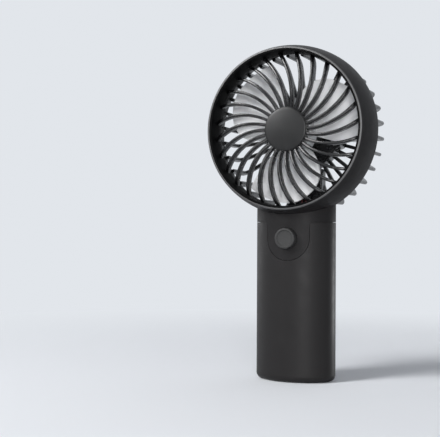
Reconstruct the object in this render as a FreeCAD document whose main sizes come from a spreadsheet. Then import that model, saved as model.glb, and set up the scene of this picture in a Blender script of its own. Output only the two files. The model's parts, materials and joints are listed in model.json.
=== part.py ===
"""Handheld battery fan: a round caged head on an oval handle, with one push button.

Frame: millimetres, +Z up along the handle, origin in the middle of the handle's base.
The fan blows towards -Y. The head's own pieces use a local frame: its origin is the middle
of the front lip, local x and z lie in the lip's plane and local y is the depth behind it.
"""
import FreeCAD, Part

import math
import os

import Sketcher
from FreeCAD import Placement, Rotation, Vector

# ---------------------------------------------------------------------------------------
# Driving dimensions, millimetres and degrees
# ---------------------------------------------------------------------------------------
SIZES = {
    # Handle
    "handle_width": 51.6,
    "handle_depth": 35.4,
    "handle_side_radius": 12.5,
    "handle_wall": 1.8,
    "base_wall": 3.6,
    "base_edge_radius": 4.0,
    "board_room": 26.0,
    "seam_gap": 0.25,
    "spigot_depth": 8.0,
    "spigot_wall": 1.4,
    "fit_clearance": 0.1,
    # Button and the tongue around it
    "button_drop": 10.3,
    "button_radius": 6.4,
    "button_proud": 4.6,
    "button_edge_radius": 0.9,
    "button_clearance": 0.25,
    "button_travel": 0.8,
    "button_flange": 1.2,
    "button_flange_gap": 1.2,
    "button_flange_thickness": 1.0,
    "tongue_margin": 7.3,
    "tongue_flare": 3.0,
    "tongue_gap": 0.25,
    # Head drum
    "head_radius": 50.2,
    "neck_rise": 7.2,
    "front_overhang": 27.0,
    "drum_depth": 25.0,
    "drum_flare": 3.7,
    "drum_curve": 74.0,
    "drum_wall": 2.4,
    "drum_edge_radius": 0.9,
    "rim_thickness": 1.1,
    "ring_seat": 13.0,
    "neck_roof": 1.8,
    "rear_gap": 0.3,
    # Front guard
    "front_rib_count": 28,
    "front_rib_thickness": 1.6,
    "front_rib_bend": 39.6,
    "ring_recess": 0.3,
    "guard_hub_radius": 14.0,
    "guard_hub_front": 6.3,
    "guard_hub_thickness": 4.3,
    "dome_radius": 49.0,
    "shoulder_inset": 9.2,
    "shoulder_front": 5.4,
    "shoulder_radius": 12.0,
    "rib_end_front": 9.0,
    "rib_end_rear": 12.6,
    "rib_back_radius": 60.0,
    # Front cap
    "cap_radius": 13.5,
    "cap_thickness": 1.8,
    "cap_edge_radius": 0.8,
    "cap_post_radius": 2.0,
    "cap_post_length": 3.0,
    # Impeller
    "hub_radius": 14.5,
    "hub_front": 13.3,
    "hub_length": 12.7,
    "hub_wall": 1.6,
    "boss_radius": 3.6,
    "boss_length": 9.0,
    "blade_count": 3,
    "blade_tip_gap": 2.1,
    "blade_thickness": 1.5,
    "blade_front": 14.5,
    "blade_pitch_depth": 7.5,
    "blade_span": 91.0,
    "blade_phase": -13.0,
    "blade_margin": 8.0,
    "blade_camber": 0.8,
    "hub_edge_radius": 1.6,
    "boss_screw_radius": 0.8,
    "boss_screw_length": 5.0,
    # Motor
    "shaft_radius": 1.5,
    "shaft_end": 1.0,
    "bearing_clearance": 0.02,
    "bushing_radius": 3.2,
    "bushing_length": 3.4,
    "can_radius": 12.0,
    "can_wall": 1.0,
    "can_gap": 3.0,
    "can_length": 16.0,
    "end_cap_thickness": 2.6,
    "magnet_thickness": 2.0,
    "magnet_split": 5.0,
    "air_gap": 0.4,
    "armature_inset": 4.0,
    "armature_length": 8.0,
    "armature_slots": 5,
    "armature_neck": 4.0,
    "slot_width": 2.6,
    "winding_overhang": 0.9,
    "commutator_radius": 2.6,
    "commutator_length": 2.2,
    "commutator_front_gap": 0.6,
    "brush_width": 1.6,
    # Motor holder
    "holder_wall": 2.0,
    "flange_radius": 22.5,
    "flange_setback": 6.0,
    "flange_thickness": 2.5,
    "ear_count": 3,
    "ear_phase": -15.0,
    "ear_circle": 22.5,
    "ear_radius": 4.2,
    "ear_screw_radius": 1.1,
    "ear_screw_length": 7.0,
    # Rear guard
    "rear_rib_count": 32,
    "rear_rib_phase": 6.4,
    "rear_rib_thickness": 2.2,
    "rear_rib_width": 3.8,
    "rear_rib_bend": 8.0,
    "motor_room": 2.9,
    "rear_ring_inset": 1.6,
    "rear_ring_wall": 1.9,
    "rear_collar": 2.2,
    "rear_spigot": 4.0,
    "cup_radius": 23.5,
    "cup_wall": 2.0,
    "cup_floor": 2.5,
    "rear_cap_radius": 15.0,
    "rear_cap_thickness": 1.6,
    "rear_cap_recess": 0.8,
    "spine_width": 23.0,
    "spine_depth": 10.0,
    "spine_inset": 0.4,
    "foot_height": 4.6,
    # Leads
    "lead_radius": 0.6,
    "lead_bend": 1.5,
    "lead_spread": 2.4,
    "lead_setback": 3.4,
    "lead_hole_width": 5.0,
    "lead_hole_depth": 2.6,
    # Cells and their frame
    "cell_radius": 9.2,
    "cell_length": 65.0,
    "cell_gap": 0.6,
    "cell_foot": 9.0,
    "cell_edge_radius": 0.8,
    "frame_plate": 1.6,
    "frame_width": 23.0,
    "frame_drop": 0.5,
    "frame_clearance": 0.5,
    "keeper_width": 32.0,
    "keeper_front": 5.5,
    "keeper_thickness": 2.0,
    "shelf_front": 3.0,
    "tab_thickness": 0.3,
    "tab_width": 7.0,
    "tab_length": 11.0,
    # Boards
    "board_thickness": 1.2,
    "board_width": 26.0,
    "board_height": 25.0,
    "board_drop": 23.0,
    "board_screw_spread": 19.0,
    "board_screw_radius": 0.9,
    "board_screw_drop": 3.0,
    "board_post_radius": 2.2,
    "board_post_root": 4.0,
    "switch_size": 6.0,
    "switch_body": 3.4,
    "plunger_radius": 1.7,
    "plunger_proud": 1.0,
    "plunger_length": 2.2,
    "usb_width": 9.0,
    "usb_height": 3.3,
    "usb_length": 7.4,
    "usb_drop": 16.0,
    "usb_shell": 0.4,
    "usb_port_margin": 0.35,
    "usb_setback": 0.6,
    "usb_tongue_width": 6.6,
    "usb_tongue_thickness": 0.7,
    "usb_tongue_gap": 0.9,
    "charge_board_width": 16.0,
    "charge_board_depth": 10.7,
    "charge_screw_spread": 11.0,
    "charge_screw_place": 5.6,
    # Screws and feet
    "screw_head_radius": 2.4,
    "screw_head_height": 1.5,
    "base_screw_spread": 24.0,
    "base_screw_radius": 1.3,
    "base_screw_length": 6.0,
    "base_screw_head": 1.2,
    "foot_pad_radius": 3.6,
    "foot_pad_depth": 1.2,
    "neck_screw_spread": 18.0,
    "neck_screw_drop": 4.0,
    "neck_screw_radius": 1.1,
    "neck_screw_length": 6.0,
    "neck_screw_setback": 5.1,
    "neck_post_radius": 2.8,
    "neck_post_setback": 4.5,
    "small_head_radius": 1.7,
    "small_head_height": 1.0,
    "small_screw_length": 6.0,
}

doc = FreeCAD.newDocument("HandheldFan")
sheet = doc.addObject("Spreadsheet::Sheet", "Sizes")
for row, (alias, value) in enumerate(SIZES.items(), start=1):
    sheet.set(f"A{row}", alias)
    sheet.set(f"B{row}", str(value))
    sheet.setAlias(f"B{row}", alias)
doc.recompute()


# ---------------------------------------------------------------------------------------
# Sizes that know both their number and the expression that keeps a property bound to it
# ---------------------------------------------------------------------------------------
class Length:
    """A size from the sheet, or one worked out from such sizes."""

    def __init__(self, value, text):
        self.value = value
        self.text = text

    def joined(self, sign, other, value):
        return Length(value, f"({self.text} {sign} {words(other)})")

    def __add__(self, other):
        return self.joined("+", other, self.value + number(other))

    def __sub__(self, other):
        return self.joined("-", other, self.value - number(other))

    def __mul__(self, other):
        return self.joined("*", other, self.value * number(other))

    def __truediv__(self, other):
        return self.joined("/", other, self.value / number(other))

    def __neg__(self):
        return Length(-self.value, f"(-1 * {self.text})")


def number(size):
    return size.value if isinstance(size, Length) else float(size)


def words(size):
    return size.text if isinstance(size, Length) else repr(float(size))


class Sheet:
    """The sheet's cells by name: S.head_radius is the cell head_radius as a Length."""

    def __getattr__(self, alias):
        return Length(float(sheet.get(alias)), f"Sizes.{alias}")


S = Sheet()


def bind(thing, path, size):
    """Keep one property of a document object equal to a size."""
    thing.setExpression(path, words(size))


# ---------------------------------------------------------------------------------------
# Places that follow from the sizes
# ---------------------------------------------------------------------------------------
HALF_WIDTH = S.handle_width / 2
HALF_DEPTH = S.handle_depth / 2
TONGUE_RADIUS = S.button_radius + S.tongue_margin
NECK_SCREW_SEAT = HALF_DEPTH - S.neck_screw_setback
NECK_POST_BACK = HALF_DEPTH - S.neck_post_setback
LEAD_PLACE = HALF_DEPTH - S.lead_setback

# Heights: the boards stand above the cells, the seam above the boards, the head on the neck.
SEAM_HEIGHT = S.cell_foot + S.cell_length + S.board_room
BUTTON_HEIGHT = SEAM_HEIGHT - S.button_drop
USB_LEVEL = SEAM_HEIGHT - S.usb_drop
BOARD_FOOT = SEAM_HEIGHT - S.board_drop
BOARD_SCREW_LEVEL = SEAM_HEIGHT - S.board_screw_drop
NECK_SCREW_LEVEL = SEAM_HEIGHT - S.neck_screw_drop
FRAME_TOP = SEAM_HEIGHT - S.frame_drop
HEAD_HEIGHT = SEAM_HEIGHT + S.neck_rise + S.head_radius

# Radii of the head: the drum widens from its lip to its rear edge.
BORE = S.head_radius - S.drum_wall
RING_OUTSIDE = S.head_radius - S.rim_thickness - S.fit_clearance
SHOULDER_PLACE = S.head_radius - S.shoulder_inset
BLADE_TIP = BORE - S.blade_tip_gap
DRUM_BACK = S.head_radius + S.drum_flare
WIDE_BORE = DRUM_BACK - S.drum_wall
REAR_RING = DRUM_BACK - S.rear_ring_inset
REAR_BORE = REAR_RING + S.rear_gap

# Depths behind the lip: each piece of the drive stands behind the one before it.
GUARD_HUB_BACK = S.guard_hub_front + S.guard_hub_thickness
IMPELLER_BACK = S.hub_front + S.hub_length
CAN_FRONT = IMPELLER_BACK + S.can_gap
CAN_BACK = CAN_FRONT + S.can_length
END_CAP_BACK = CAN_BACK + S.end_cap_thickness
SHAFT_REAR = END_CAP_BACK + S.shaft_end
HOLDER_FRONT = CAN_FRONT - S.can_wall
HOLDER_FLANGE = CAN_BACK - S.flange_setback
ARMATURE_FRONT = CAN_FRONT + S.armature_inset
REAR_DEPTH = END_CAP_BACK + S.motor_room + S.cup_floor
SPINE_FRONT = REAR_DEPTH - S.spine_depth
SPIGOT_FRONT = S.drum_depth + S.seam_gap - S.rear_spigot


# ---------------------------------------------------------------------------------------
# Sketches
# ---------------------------------------------------------------------------------------
ORIGIN = -1
START, END, CENTRE = 1, 2, 3
NORMAL = Vector(0, 0, 1)


def new_body(name):
    body = doc.addObject("PartDesign::Body", name)
    body.Label = name
    return body


def new_sketch(body, role, name, offset=None, turn=None):
    """A sketch on one of the body's origin planes, moved along and turned about its axes."""
    sketch = body.newObject("Sketcher::SketchObject", f"{body.Name}_{name}")
    plane = next(item for item in body.Origin.OriginFeatures if item.Role == role)
    sketch.AttachmentSupport = [(plane, "")]
    sketch.MapMode = "FlatFace"
    if turn is not None:
        axis, angle = turn
        sketch.AttachmentOffset = Placement(Vector(), Rotation(axis, number(angle)))
        bind(sketch, "AttachmentOffset.Rotation.Angle", angle)
    if offset is not None:
        sketch.AttachmentOffset.Base.z = number(offset)
        bind(sketch, "AttachmentOffset.Base.z", offset)
    return sketch


def dimension(sketch, kind, *where, size):
    """A constraint whose value follows a size."""
    index = sketch.addConstraint(Sketcher.Constraint(kind, *where, number(size)))
    if isinstance(size, Length):
        bind(sketch, f"Constraints[{index}]", size)


def coordinate(sketch, geometry, position, kind, size):
    """Fix one coordinate of a point of the sketch."""
    if number(size) == 0.0 and not isinstance(size, Length):
        axis = -2 if kind == "DistanceX" else -1
        sketch.addConstraint(Sketcher.Constraint("PointOnObject", geometry, position, axis))
    else:
        dimension(sketch, kind, ORIGIN, START, geometry, position, size=size)


def locate(sketch, geometry, position, x, y):
    """Fix a point of the sketch at x, y from its origin."""
    coordinate(sketch, geometry, position, "DistanceX", x)
    coordinate(sketch, geometry, position, "DistanceY", y)


def arc_between(here, there, bend):
    """Arc of radius abs(bend) from here to there, turning left where bend is positive."""
    chord = there - here
    radius = abs(bend)
    rise = math.sqrt(max(radius**2 - (chord.Length / 2) ** 2, 0.0))
    left = Vector(-chord.y, chord.x, 0).normalize()
    side = 1 if bend > 0 else -1
    centre = here + chord / 2 + left * (rise * side)
    first, last = (here, there) if bend > 0 else (there, here)
    start = math.atan2(first.y - centre.y, first.x - centre.x)
    end = math.atan2(last.y - centre.y, last.x - centre.x)
    if end < start:
        end += 2 * math.pi
    return Part.ArcOfCircle(Part.Circle(centre, NORMAL, radius), start, end)


def outline(sketch, points):
    """Closed outline through points (x, y), or (x, y, bend) where the next edge is an arc."""
    corners = [Vector(number(point[0]), number(point[1]), 0) for point in points]
    edges = []
    for i, point in enumerate(points):
        here, there = corners[i], corners[(i + 1) % len(points)]
        if len(point) == 3:
            bend = point[2]
            index = sketch.addGeometry(arc_between(here, there, number(bend)), False)
            ends = (START, END) if number(bend) > 0 else (END, START)
        else:
            bend = None
            index = sketch.addGeometry(Part.LineSegment(here, there), False)
            ends = (START, END)
        edges.append((index, ends, bend))
    for i, (index, ends, bend) in enumerate(edges):
        after, after_ends, _ = edges[(i + 1) % len(edges)]
        sketch.addConstraint(Sketcher.Constraint("Coincident", index, ends[1], after, after_ends[0]))
    for i, (index, ends, bend) in enumerate(edges):
        x, y = points[i][:2]
        locate(sketch, index, ends[0], x, y)
        if bend is None:
            continue
        chord = corners[(i + 1) % len(corners)] - corners[i]
        if chord.Length / 2 < abs(number(bend)) - 1e-6:
            dimension(sketch, "Radius", index, size=bend if number(bend) > 0 else -bend)
        elif abs(chord.y) < abs(chord.x):
            coordinate(sketch, index, CENTRE, "DistanceY", y)
        else:
            coordinate(sketch, index, CENTRE, "DistanceX", x)


def circle(sketch, x, y, radius):
    centre = Vector(number(x), number(y), 0)
    index = sketch.addGeometry(Part.Circle(centre, NORMAL, number(radius)), False)
    locate(sketch, index, CENTRE, x, y)
    dimension(sketch, "Radius", index, size=radius)


def oval(sketch, half_width, half_depth, side_radius):
    """Closed oval of four tangent arcs about the sketch's origin."""
    reach = half_width - side_radius
    front_radius = (reach * reach + half_depth * half_depth - side_radius * side_radius) / (
        (half_depth - side_radius) * 2
    )
    rise = front_radius.value - half_depth.value
    split = math.atan2(rise, reach.value)
    arcs = (
        (Vector(reach.value, 0, 0), side_radius.value, -split, split),
        (Vector(0, -rise, 0), front_radius.value, split, math.pi - split),
        (Vector(-reach.value, 0, 0), side_radius.value, math.pi - split, math.pi + split),
        (Vector(0, rise, 0), front_radius.value, math.pi + split, 2 * math.pi - split),
    )
    index = [
        sketch.addGeometry(Part.ArcOfCircle(Part.Circle(centre, NORMAL, radius), start, end), False)
        for centre, radius, start, end in arcs
    ]
    for here, there in zip(index, index[1:] + index[:1]):
        sketch.addConstraint(Sketcher.Constraint("Tangent", here, END, there, START))
    dimension(sketch, "Radius", index[0], size=side_radius)
    dimension(sketch, "Radius", index[1], size=front_radius)
    locate(sketch, index[0], CENTRE, reach, 0)
    locate(sketch, index[2], CENTRE, -reach, 0)
    sketch.addConstraint(Sketcher.Constraint("Equal", index[0], index[2]))
    sketch.addConstraint(Sketcher.Constraint("Equal", index[1], index[3]))


# ---------------------------------------------------------------------------------------
# Features
# ---------------------------------------------------------------------------------------
def feature(body, kind, name, sketch):
    made = body.newObject(f"PartDesign::{kind}", f"{body.Name}_{name}")
    made.Profile = sketch
    return made


def pad(body, name, sketch, length, reversed=False, symmetric=False):
    made = feature(body, "Pad", name, sketch)
    made.SideType = "Symmetric" if symmetric else "One side"
    made.Reversed = reversed
    bind(made, "Length", length)
    return made


def pocket(body, name, sketch, length=None, reversed=False, symmetric=False):
    made = feature(body, "Pocket", name, sketch)
    made.SideType = "Symmetric" if symmetric else "One side"
    made.Reversed = reversed
    if length is None:
        made.Type = "ThroughAll"
    else:
        bind(made, "Length", length)
    return made


def lathe(body, name, sketch, kind="Revolution"):
    """Turn a sketch about its own vertical axis, or groove it out."""
    made = feature(body, kind, name, sketch)
    made.ReferenceAxis = (sketch, ["V_Axis"])
    made.Angle = 360
    return made


def pattern(body, name, original, role, count):
    made = body.newObject("PartDesign::PolarPattern", f"{body.Name}_{name}")
    made.Originals = [original]
    made.Axis = (next(item for item in body.Origin.OriginFeatures if item.Role == role), [""])
    made.Angle = 360
    bind(made, "Occurrences", count)
    body.Tip = made
    return made


def round_edges(body, name, base, chosen, radius):
    """Fillet the edges of the last feature that chosen(edge) picks."""
    doc.recompute()
    names = [f"Edge{i}" for i, edge in enumerate(base.Shape.Edges, start=1) if chosen(edge)]
    if not names:
        raise ValueError(f"{body.Name}: no edge to round for {name}")
    made = body.newObject("PartDesign::Fillet", f"{body.Name}_{name}")
    made.Base = (base, names)
    bind(made, "Radius", radius)
    body.Tip = made
    return made


def ring_at(radius, depth):
    """Picks the round edge of this radius about local y, at this depth."""

    def chosen(edge):
        curve = edge.Curve
        return (
            isinstance(curve, Part.Circle)
            and abs(curve.Radius - number(radius)) < 1e-4
            and abs(curve.Center.y - number(depth)) < 1e-4
            and abs(abs(curve.Axis.y) - 1) < 1e-6
        )

    return chosen


def at_level(level):
    """Picks the edges that lie wholly at this height."""

    def chosen(edge):
        middle = edge.valueAt((edge.FirstParameter + edge.LastParameter) / 2)
        points = [vertex.Point for vertex in edge.Vertexes] + [middle]
        return all(abs(point.z - number(level)) < 1e-4 for point in points)

    return chosen


def turned(name, points, rounds=()):
    """A body turned about its local y: points are (radius, depth), rounds are fillets."""
    body = new_body(name)
    sketch = new_sketch(body, "XY_Plane", "section")
    outline(sketch, points)
    last = lathe(body, "turned", sketch)
    for number_, (radius, depth, size) in enumerate(rounds):
        last = round_edges(body, f"round{number_}", last, ring_at(radius, depth), size)
    return body


def on_head(thing):
    """Put a piece drawn in the head's frame in its place."""
    bind(thing, "Placement.Base.y", -S.front_overhang)
    bind(thing, "Placement.Base.z", HEAD_HEIGHT)
    return thing


# ---------------------------------------------------------------------------------------
# Boolean pieces
# ---------------------------------------------------------------------------------------
def extrusion(name, sketch, length):
    """A sketch of its own, raised along +Z."""
    made = doc.addObject("Part::Extrusion", name)
    made.Base = sketch
    made.DirMode = "Custom"
    made.Dir = Vector(0, 0, 1)
    made.Solid = True
    bind(made, "LengthFwd", length)
    return made


def cylinder(name, radius, height, x=0, y=0, z=0, along="Z"):
    """A cylinder from (x, y, z) towards +X, +Y or +Z."""
    made = doc.addObject("Part::Cylinder", name)
    bind(made, "Radius", radius)
    bind(made, "Height", height)
    made.Placement.Rotation = {
        "X": Rotation(Vector(0, 1, 0), 90),
        "Y": Rotation(Vector(1, 0, 0), -90),
        "Z": Rotation(),
    }[along]
    move(made, x, y, z)
    return made


def box(name, width, depth, height, x=0, y=0, z=0):
    """A box centred on x, with its front at y and its foot at z."""
    made = doc.addObject("Part::Box", name)
    bind(made, "Length", width)
    bind(made, "Width", depth)
    bind(made, "Height", height)
    move(made, width * -0.5 + x, y, z)
    return made


def move(thing, x, y, z):
    for axis, size in (("x", x), ("y", y), ("z", z)):
        bind(thing, f"Placement.Base.{axis}", size)


def fuse(name, pieces):
    made = doc.addObject("Part::MultiFuse", name)
    made.Shapes = pieces
    made.Refine = True
    return made


def cut(name, base, tool):
    made = doc.addObject("Part::Cut", name)
    made.Base = base
    made.Tool = tool
    return made


def common(name, base, tool):
    made = doc.addObject("Part::MultiCommon", name)
    made.Shapes = [base, tool]
    return made


def group(name, pieces):
    """Identical separate pieces in one node."""
    made = doc.addObject("Part::Compound", name)
    made.Links = pieces
    return made


def loose_sketch(name, role, level):
    """A sketch in the world: level is its height on the XY plane, or -y on the XZ plane."""
    sketch = doc.addObject("Sketcher::SketchObject", name)
    sketch.Placement.Rotation = Rotation() if role == "XY" else Rotation(Vector(1, 0, 0), 90)
    bind(sketch, "Placement.Base.z" if role == "XY" else "Placement.Base.y", level)
    return sketch


# ---------------------------------------------------------------------------------------
# Handle
# ---------------------------------------------------------------------------------------
NODES = []


def keep(thing, label=None):
    """Hand a finished sub-part in under its label."""
    if label is not None:
        thing.Label = label
    NODES.append(thing)
    return thing


def handle_oval(sketch, inset):
    oval(sketch, HALF_WIDTH - inset, HALF_DEPTH - inset, S.handle_side_radius - inset)


def tongue_outline(sketch, grow):
    """The tongue's U round the button, flaring into the seam; grow widens it for its notch."""
    radius = TONGUE_RADIUS + grow
    flare = S.tongue_flare - grow
    top = SEAM_HEIGHT + S.tongue_flare
    outline(
        sketch,
        [
            (-radius, BUTTON_HEIGHT, radius),
            (radius, BUTTON_HEIGHT),
            (radius, SEAM_HEIGHT - flare, -flare),
            (radius + flare, SEAM_HEIGHT),
            (radius + flare, top),
            (-(radius + flare), top),
            (-(radius + flare), SEAM_HEIGHT, -flare),
            (-radius, SEAM_HEIGHT - flare),
        ],
    )


def handle_sleeve():
    """The tube that is held, closed below, with a notch for the tongue."""
    body = new_body("handle_sleeve")
    base = new_sketch(body, "XY_Plane", "outside")
    handle_oval(base, 0)
    last = pad(body, "tube", base, SEAM_HEIGHT - S.seam_gap)
    round_edges(body, "base_edge", last, at_level(0), S.base_edge_radius)
    room = new_sketch(body, "XY_Plane", "inside", offset=S.base_wall)
    handle_oval(room, S.handle_wall)
    pocket(body, "room", room, reversed=True)
    notch = new_sketch(body, "XZ_Plane", "notch")
    tongue_outline(notch, S.tongue_gap)
    pocket(body, "notch", notch, reversed=True)
    port = new_sketch(body, "XZ_Plane", "port")
    half = S.usb_width / 2 - S.usb_height / 2
    end = S.usb_height / 2 + S.usb_port_margin
    outline(
        port,
        [
            (-half, USB_LEVEL - end),
            (half, USB_LEVEL - end, end),
            (half, USB_LEVEL + end),
            (-half, USB_LEVEL + end, end),
        ],
    )
    pocket(body, "port", port)
    for name, radius, depth in (
        ("screw_holes", S.base_screw_radius + S.fit_clearance, S.base_wall),
        ("head_seats", S.screw_head_radius + S.fit_clearance, S.foot_pad_depth + S.base_screw_head),
        ("pad_seats", S.foot_pad_radius, S.foot_pad_depth),
    ):
        holes = new_sketch(body, "XY_Plane", name)
        for side in (-0.5, 0.5):
            circle(holes, S.base_screw_spread * side, 0, radius)
        pocket(body, name + "_cut", holes, depth, reversed=True)
    return keep(body)


def turn_to_radius(root, bend, radius):
    """Degrees that an arc of radius bend, leaving root radially, turns before it meets radius."""
    across = root * bend * 2
    along = bend * bend * 2
    rest = radius * radius - root * root - along
    size = math.hypot(across.value, along.value)
    value = math.degrees(math.asin(rest.value / size) + math.atan2(along.value, across.value))
    text = (
        f"(asin({rest.text} / sqrt({across.text} ^ 2 + {along.text} ^ 2))"
        f" + atan2({along.text}; {across.text}))"
    )
    return Length(value, text)


def curved_rib(sketch, root, bend, turn, thickness):
    """A rib's outline: two arcs about one centre, leaving root along the sketch's x axis."""
    start = -math.pi / 2
    end = start + math.radians(turn.value)
    centre = Vector(root.value, bend.value, 0)
    sides = []
    for radius in (bend - thickness / 2, bend + thickness / 2):
        circle_ = Part.Circle(centre, NORMAL, radius.value)
        sides.append((sketch.addGeometry(Part.ArcOfCircle(circle_, start, end), False), radius))
    (inner, _), (outer, _) = sides
    for index, radius in sides:
        dimension(sketch, "Radius", index, size=radius)
        sketch.addConstraint(Sketcher.Constraint("Vertical", index, START, index, CENTRE))
        corner = sketch.addConstraint(Sketcher.Constraint("Angle", index, math.radians(turn.value)))
        bind(sketch, f"Constraints[{corner}]", turn)
    locate(sketch, inner, CENTRE, root, bend)
    sketch.addConstraint(Sketcher.Constraint("Coincident", inner, CENTRE, outer, CENTRE))
    for position in (START, END):
        ends = [sketch.Geometry[index].StartPoint if position == START else sketch.Geometry[index].EndPoint
                for index in (inner, outer)]
        line = sketch.addGeometry(Part.LineSegment(*ends), False)
        sketch.addConstraint(Sketcher.Constraint("Coincident", line, START, inner, position))
        sketch.addConstraint(Sketcher.Constraint("Coincident", line, END, outer, position))


# ---------------------------------------------------------------------------------------
# Head: drum, guards and caps
# ---------------------------------------------------------------------------------------
POST_HOLE = S.cap_post_radius + S.fit_clearance


def front_guard():
    """The spiral grille: a hub disc, curved ribs under a shallow dome, and a ring."""
    root = S.guard_hub_radius - S.front_rib_thickness / 4
    ring_middle = (BORE + RING_OUTSIDE) / 2
    beyond = RING_OUTSIDE + S.drum_wall
    body = turned(
        "front_guard",
        [
            (POST_HOLE, S.guard_hub_front),
            (S.guard_hub_radius, S.guard_hub_front),
            (S.guard_hub_radius, GUARD_HUB_BACK),
            (POST_HOLE, GUARD_HUB_BACK),
        ],
    )
    rib = new_sketch(body, "XZ_Plane", "rib", offset=0)
    turn = turn_to_radius(root, S.front_rib_bend, beyond)
    curved_rib(rib, root, S.front_rib_bend, turn, S.front_rib_thickness)
    blade = pad(body, "rib_pad", rib, S.ring_seat + S.drum_wall, reversed=True)
    pattern(body, "ribs", blade, "Y_Axis", S.front_rib_count)
    dome = new_sketch(body, "XY_Plane", "dome")
    outline(
        dome,
        [
            (0, -S.drum_wall),
            (0, S.guard_hub_front),
            (S.guard_hub_radius, S.guard_hub_front, S.dome_radius),
            (SHOULDER_PLACE, S.shoulder_front, S.shoulder_radius),
            (ring_middle, S.rib_end_front),
            (beyond + S.drum_wall, S.rib_end_front),
            (beyond + S.drum_wall, -S.drum_wall),
        ],
    )
    lathe(body, "dome_cut", dome, "Groove")
    back = new_sketch(body, "XY_Plane", "back")
    outline(
        back,
        [
            (0, GUARD_HUB_BACK),
            (S.guard_hub_radius, GUARD_HUB_BACK, S.rib_back_radius),
            (ring_middle, S.rib_end_rear),
            (ring_middle, S.rib_end_front),
            (beyond + S.drum_wall, S.rib_end_front),
            (beyond + S.drum_wall, S.ring_seat + S.drum_wall * 2),
            (0, S.ring_seat + S.drum_wall * 2),
        ],
    )
    lathe(body, "back_cut", back, "Groove")
    ring = new_sketch(body, "XY_Plane", "ring")
    outline(
        ring,
        [
            (BORE, S.ring_recess),
            (RING_OUTSIDE, S.ring_recess),
            (RING_OUTSIDE, S.ring_seat),
            (BORE, S.ring_seat),
        ],
    )
    lathe(body, "ring_turned", ring)
    return keep(on_head(body))


def front_cap():
    """The plain disc over the guard's hub, with the post that snaps into it."""
    front = S.guard_hub_front - S.cap_thickness
    body = turned(
        "front_cap",
        [
            (0, front),
            (S.cap_radius, front),
            (S.cap_radius, S.guard_hub_front),
            (S.cap_post_radius, S.guard_hub_front),
            (S.cap_post_radius, S.guard_hub_front + S.cap_post_length),
            (0, S.guard_hub_front + S.cap_post_length),
        ],
        rounds=[(S.cap_radius, front, S.cap_edge_radius)],
    )
    return keep(on_head(body))


def drum():
    """The head's wall: it widens to the rear, with a seat for each guard's ring."""
    body = turned(
        "drum",
        [
            (S.head_radius - S.rim_thickness, 0),
            (S.head_radius, 0, S.drum_curve),
            (DRUM_BACK, S.drum_depth),
            (WIDE_BORE, S.drum_depth),
            (WIDE_BORE, S.drum_depth - S.rear_spigot),
            (BORE, S.ring_seat + S.drum_wall),
            (BORE, S.ring_seat),
            (S.head_radius - S.rim_thickness, S.ring_seat),
        ],
        rounds=[
            (S.head_radius, 0, S.drum_edge_radius),
            (DRUM_BACK, S.drum_depth, S.drum_edge_radius),
        ],
    )
    return on_head(body)


NECK_INSET = S.handle_wall + S.fit_clearance + S.spigot_wall
BOARD_FRONT = -HALF_DEPTH + NECK_INSET + S.button_flange_gap + S.button_flange_thickness + (
    S.plunger_proud + S.switch_body
)
PLATE_FRONT = S.cell_radius + S.frame_clearance
PLATE_BACK = PLATE_FRONT + S.frame_plate


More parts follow.
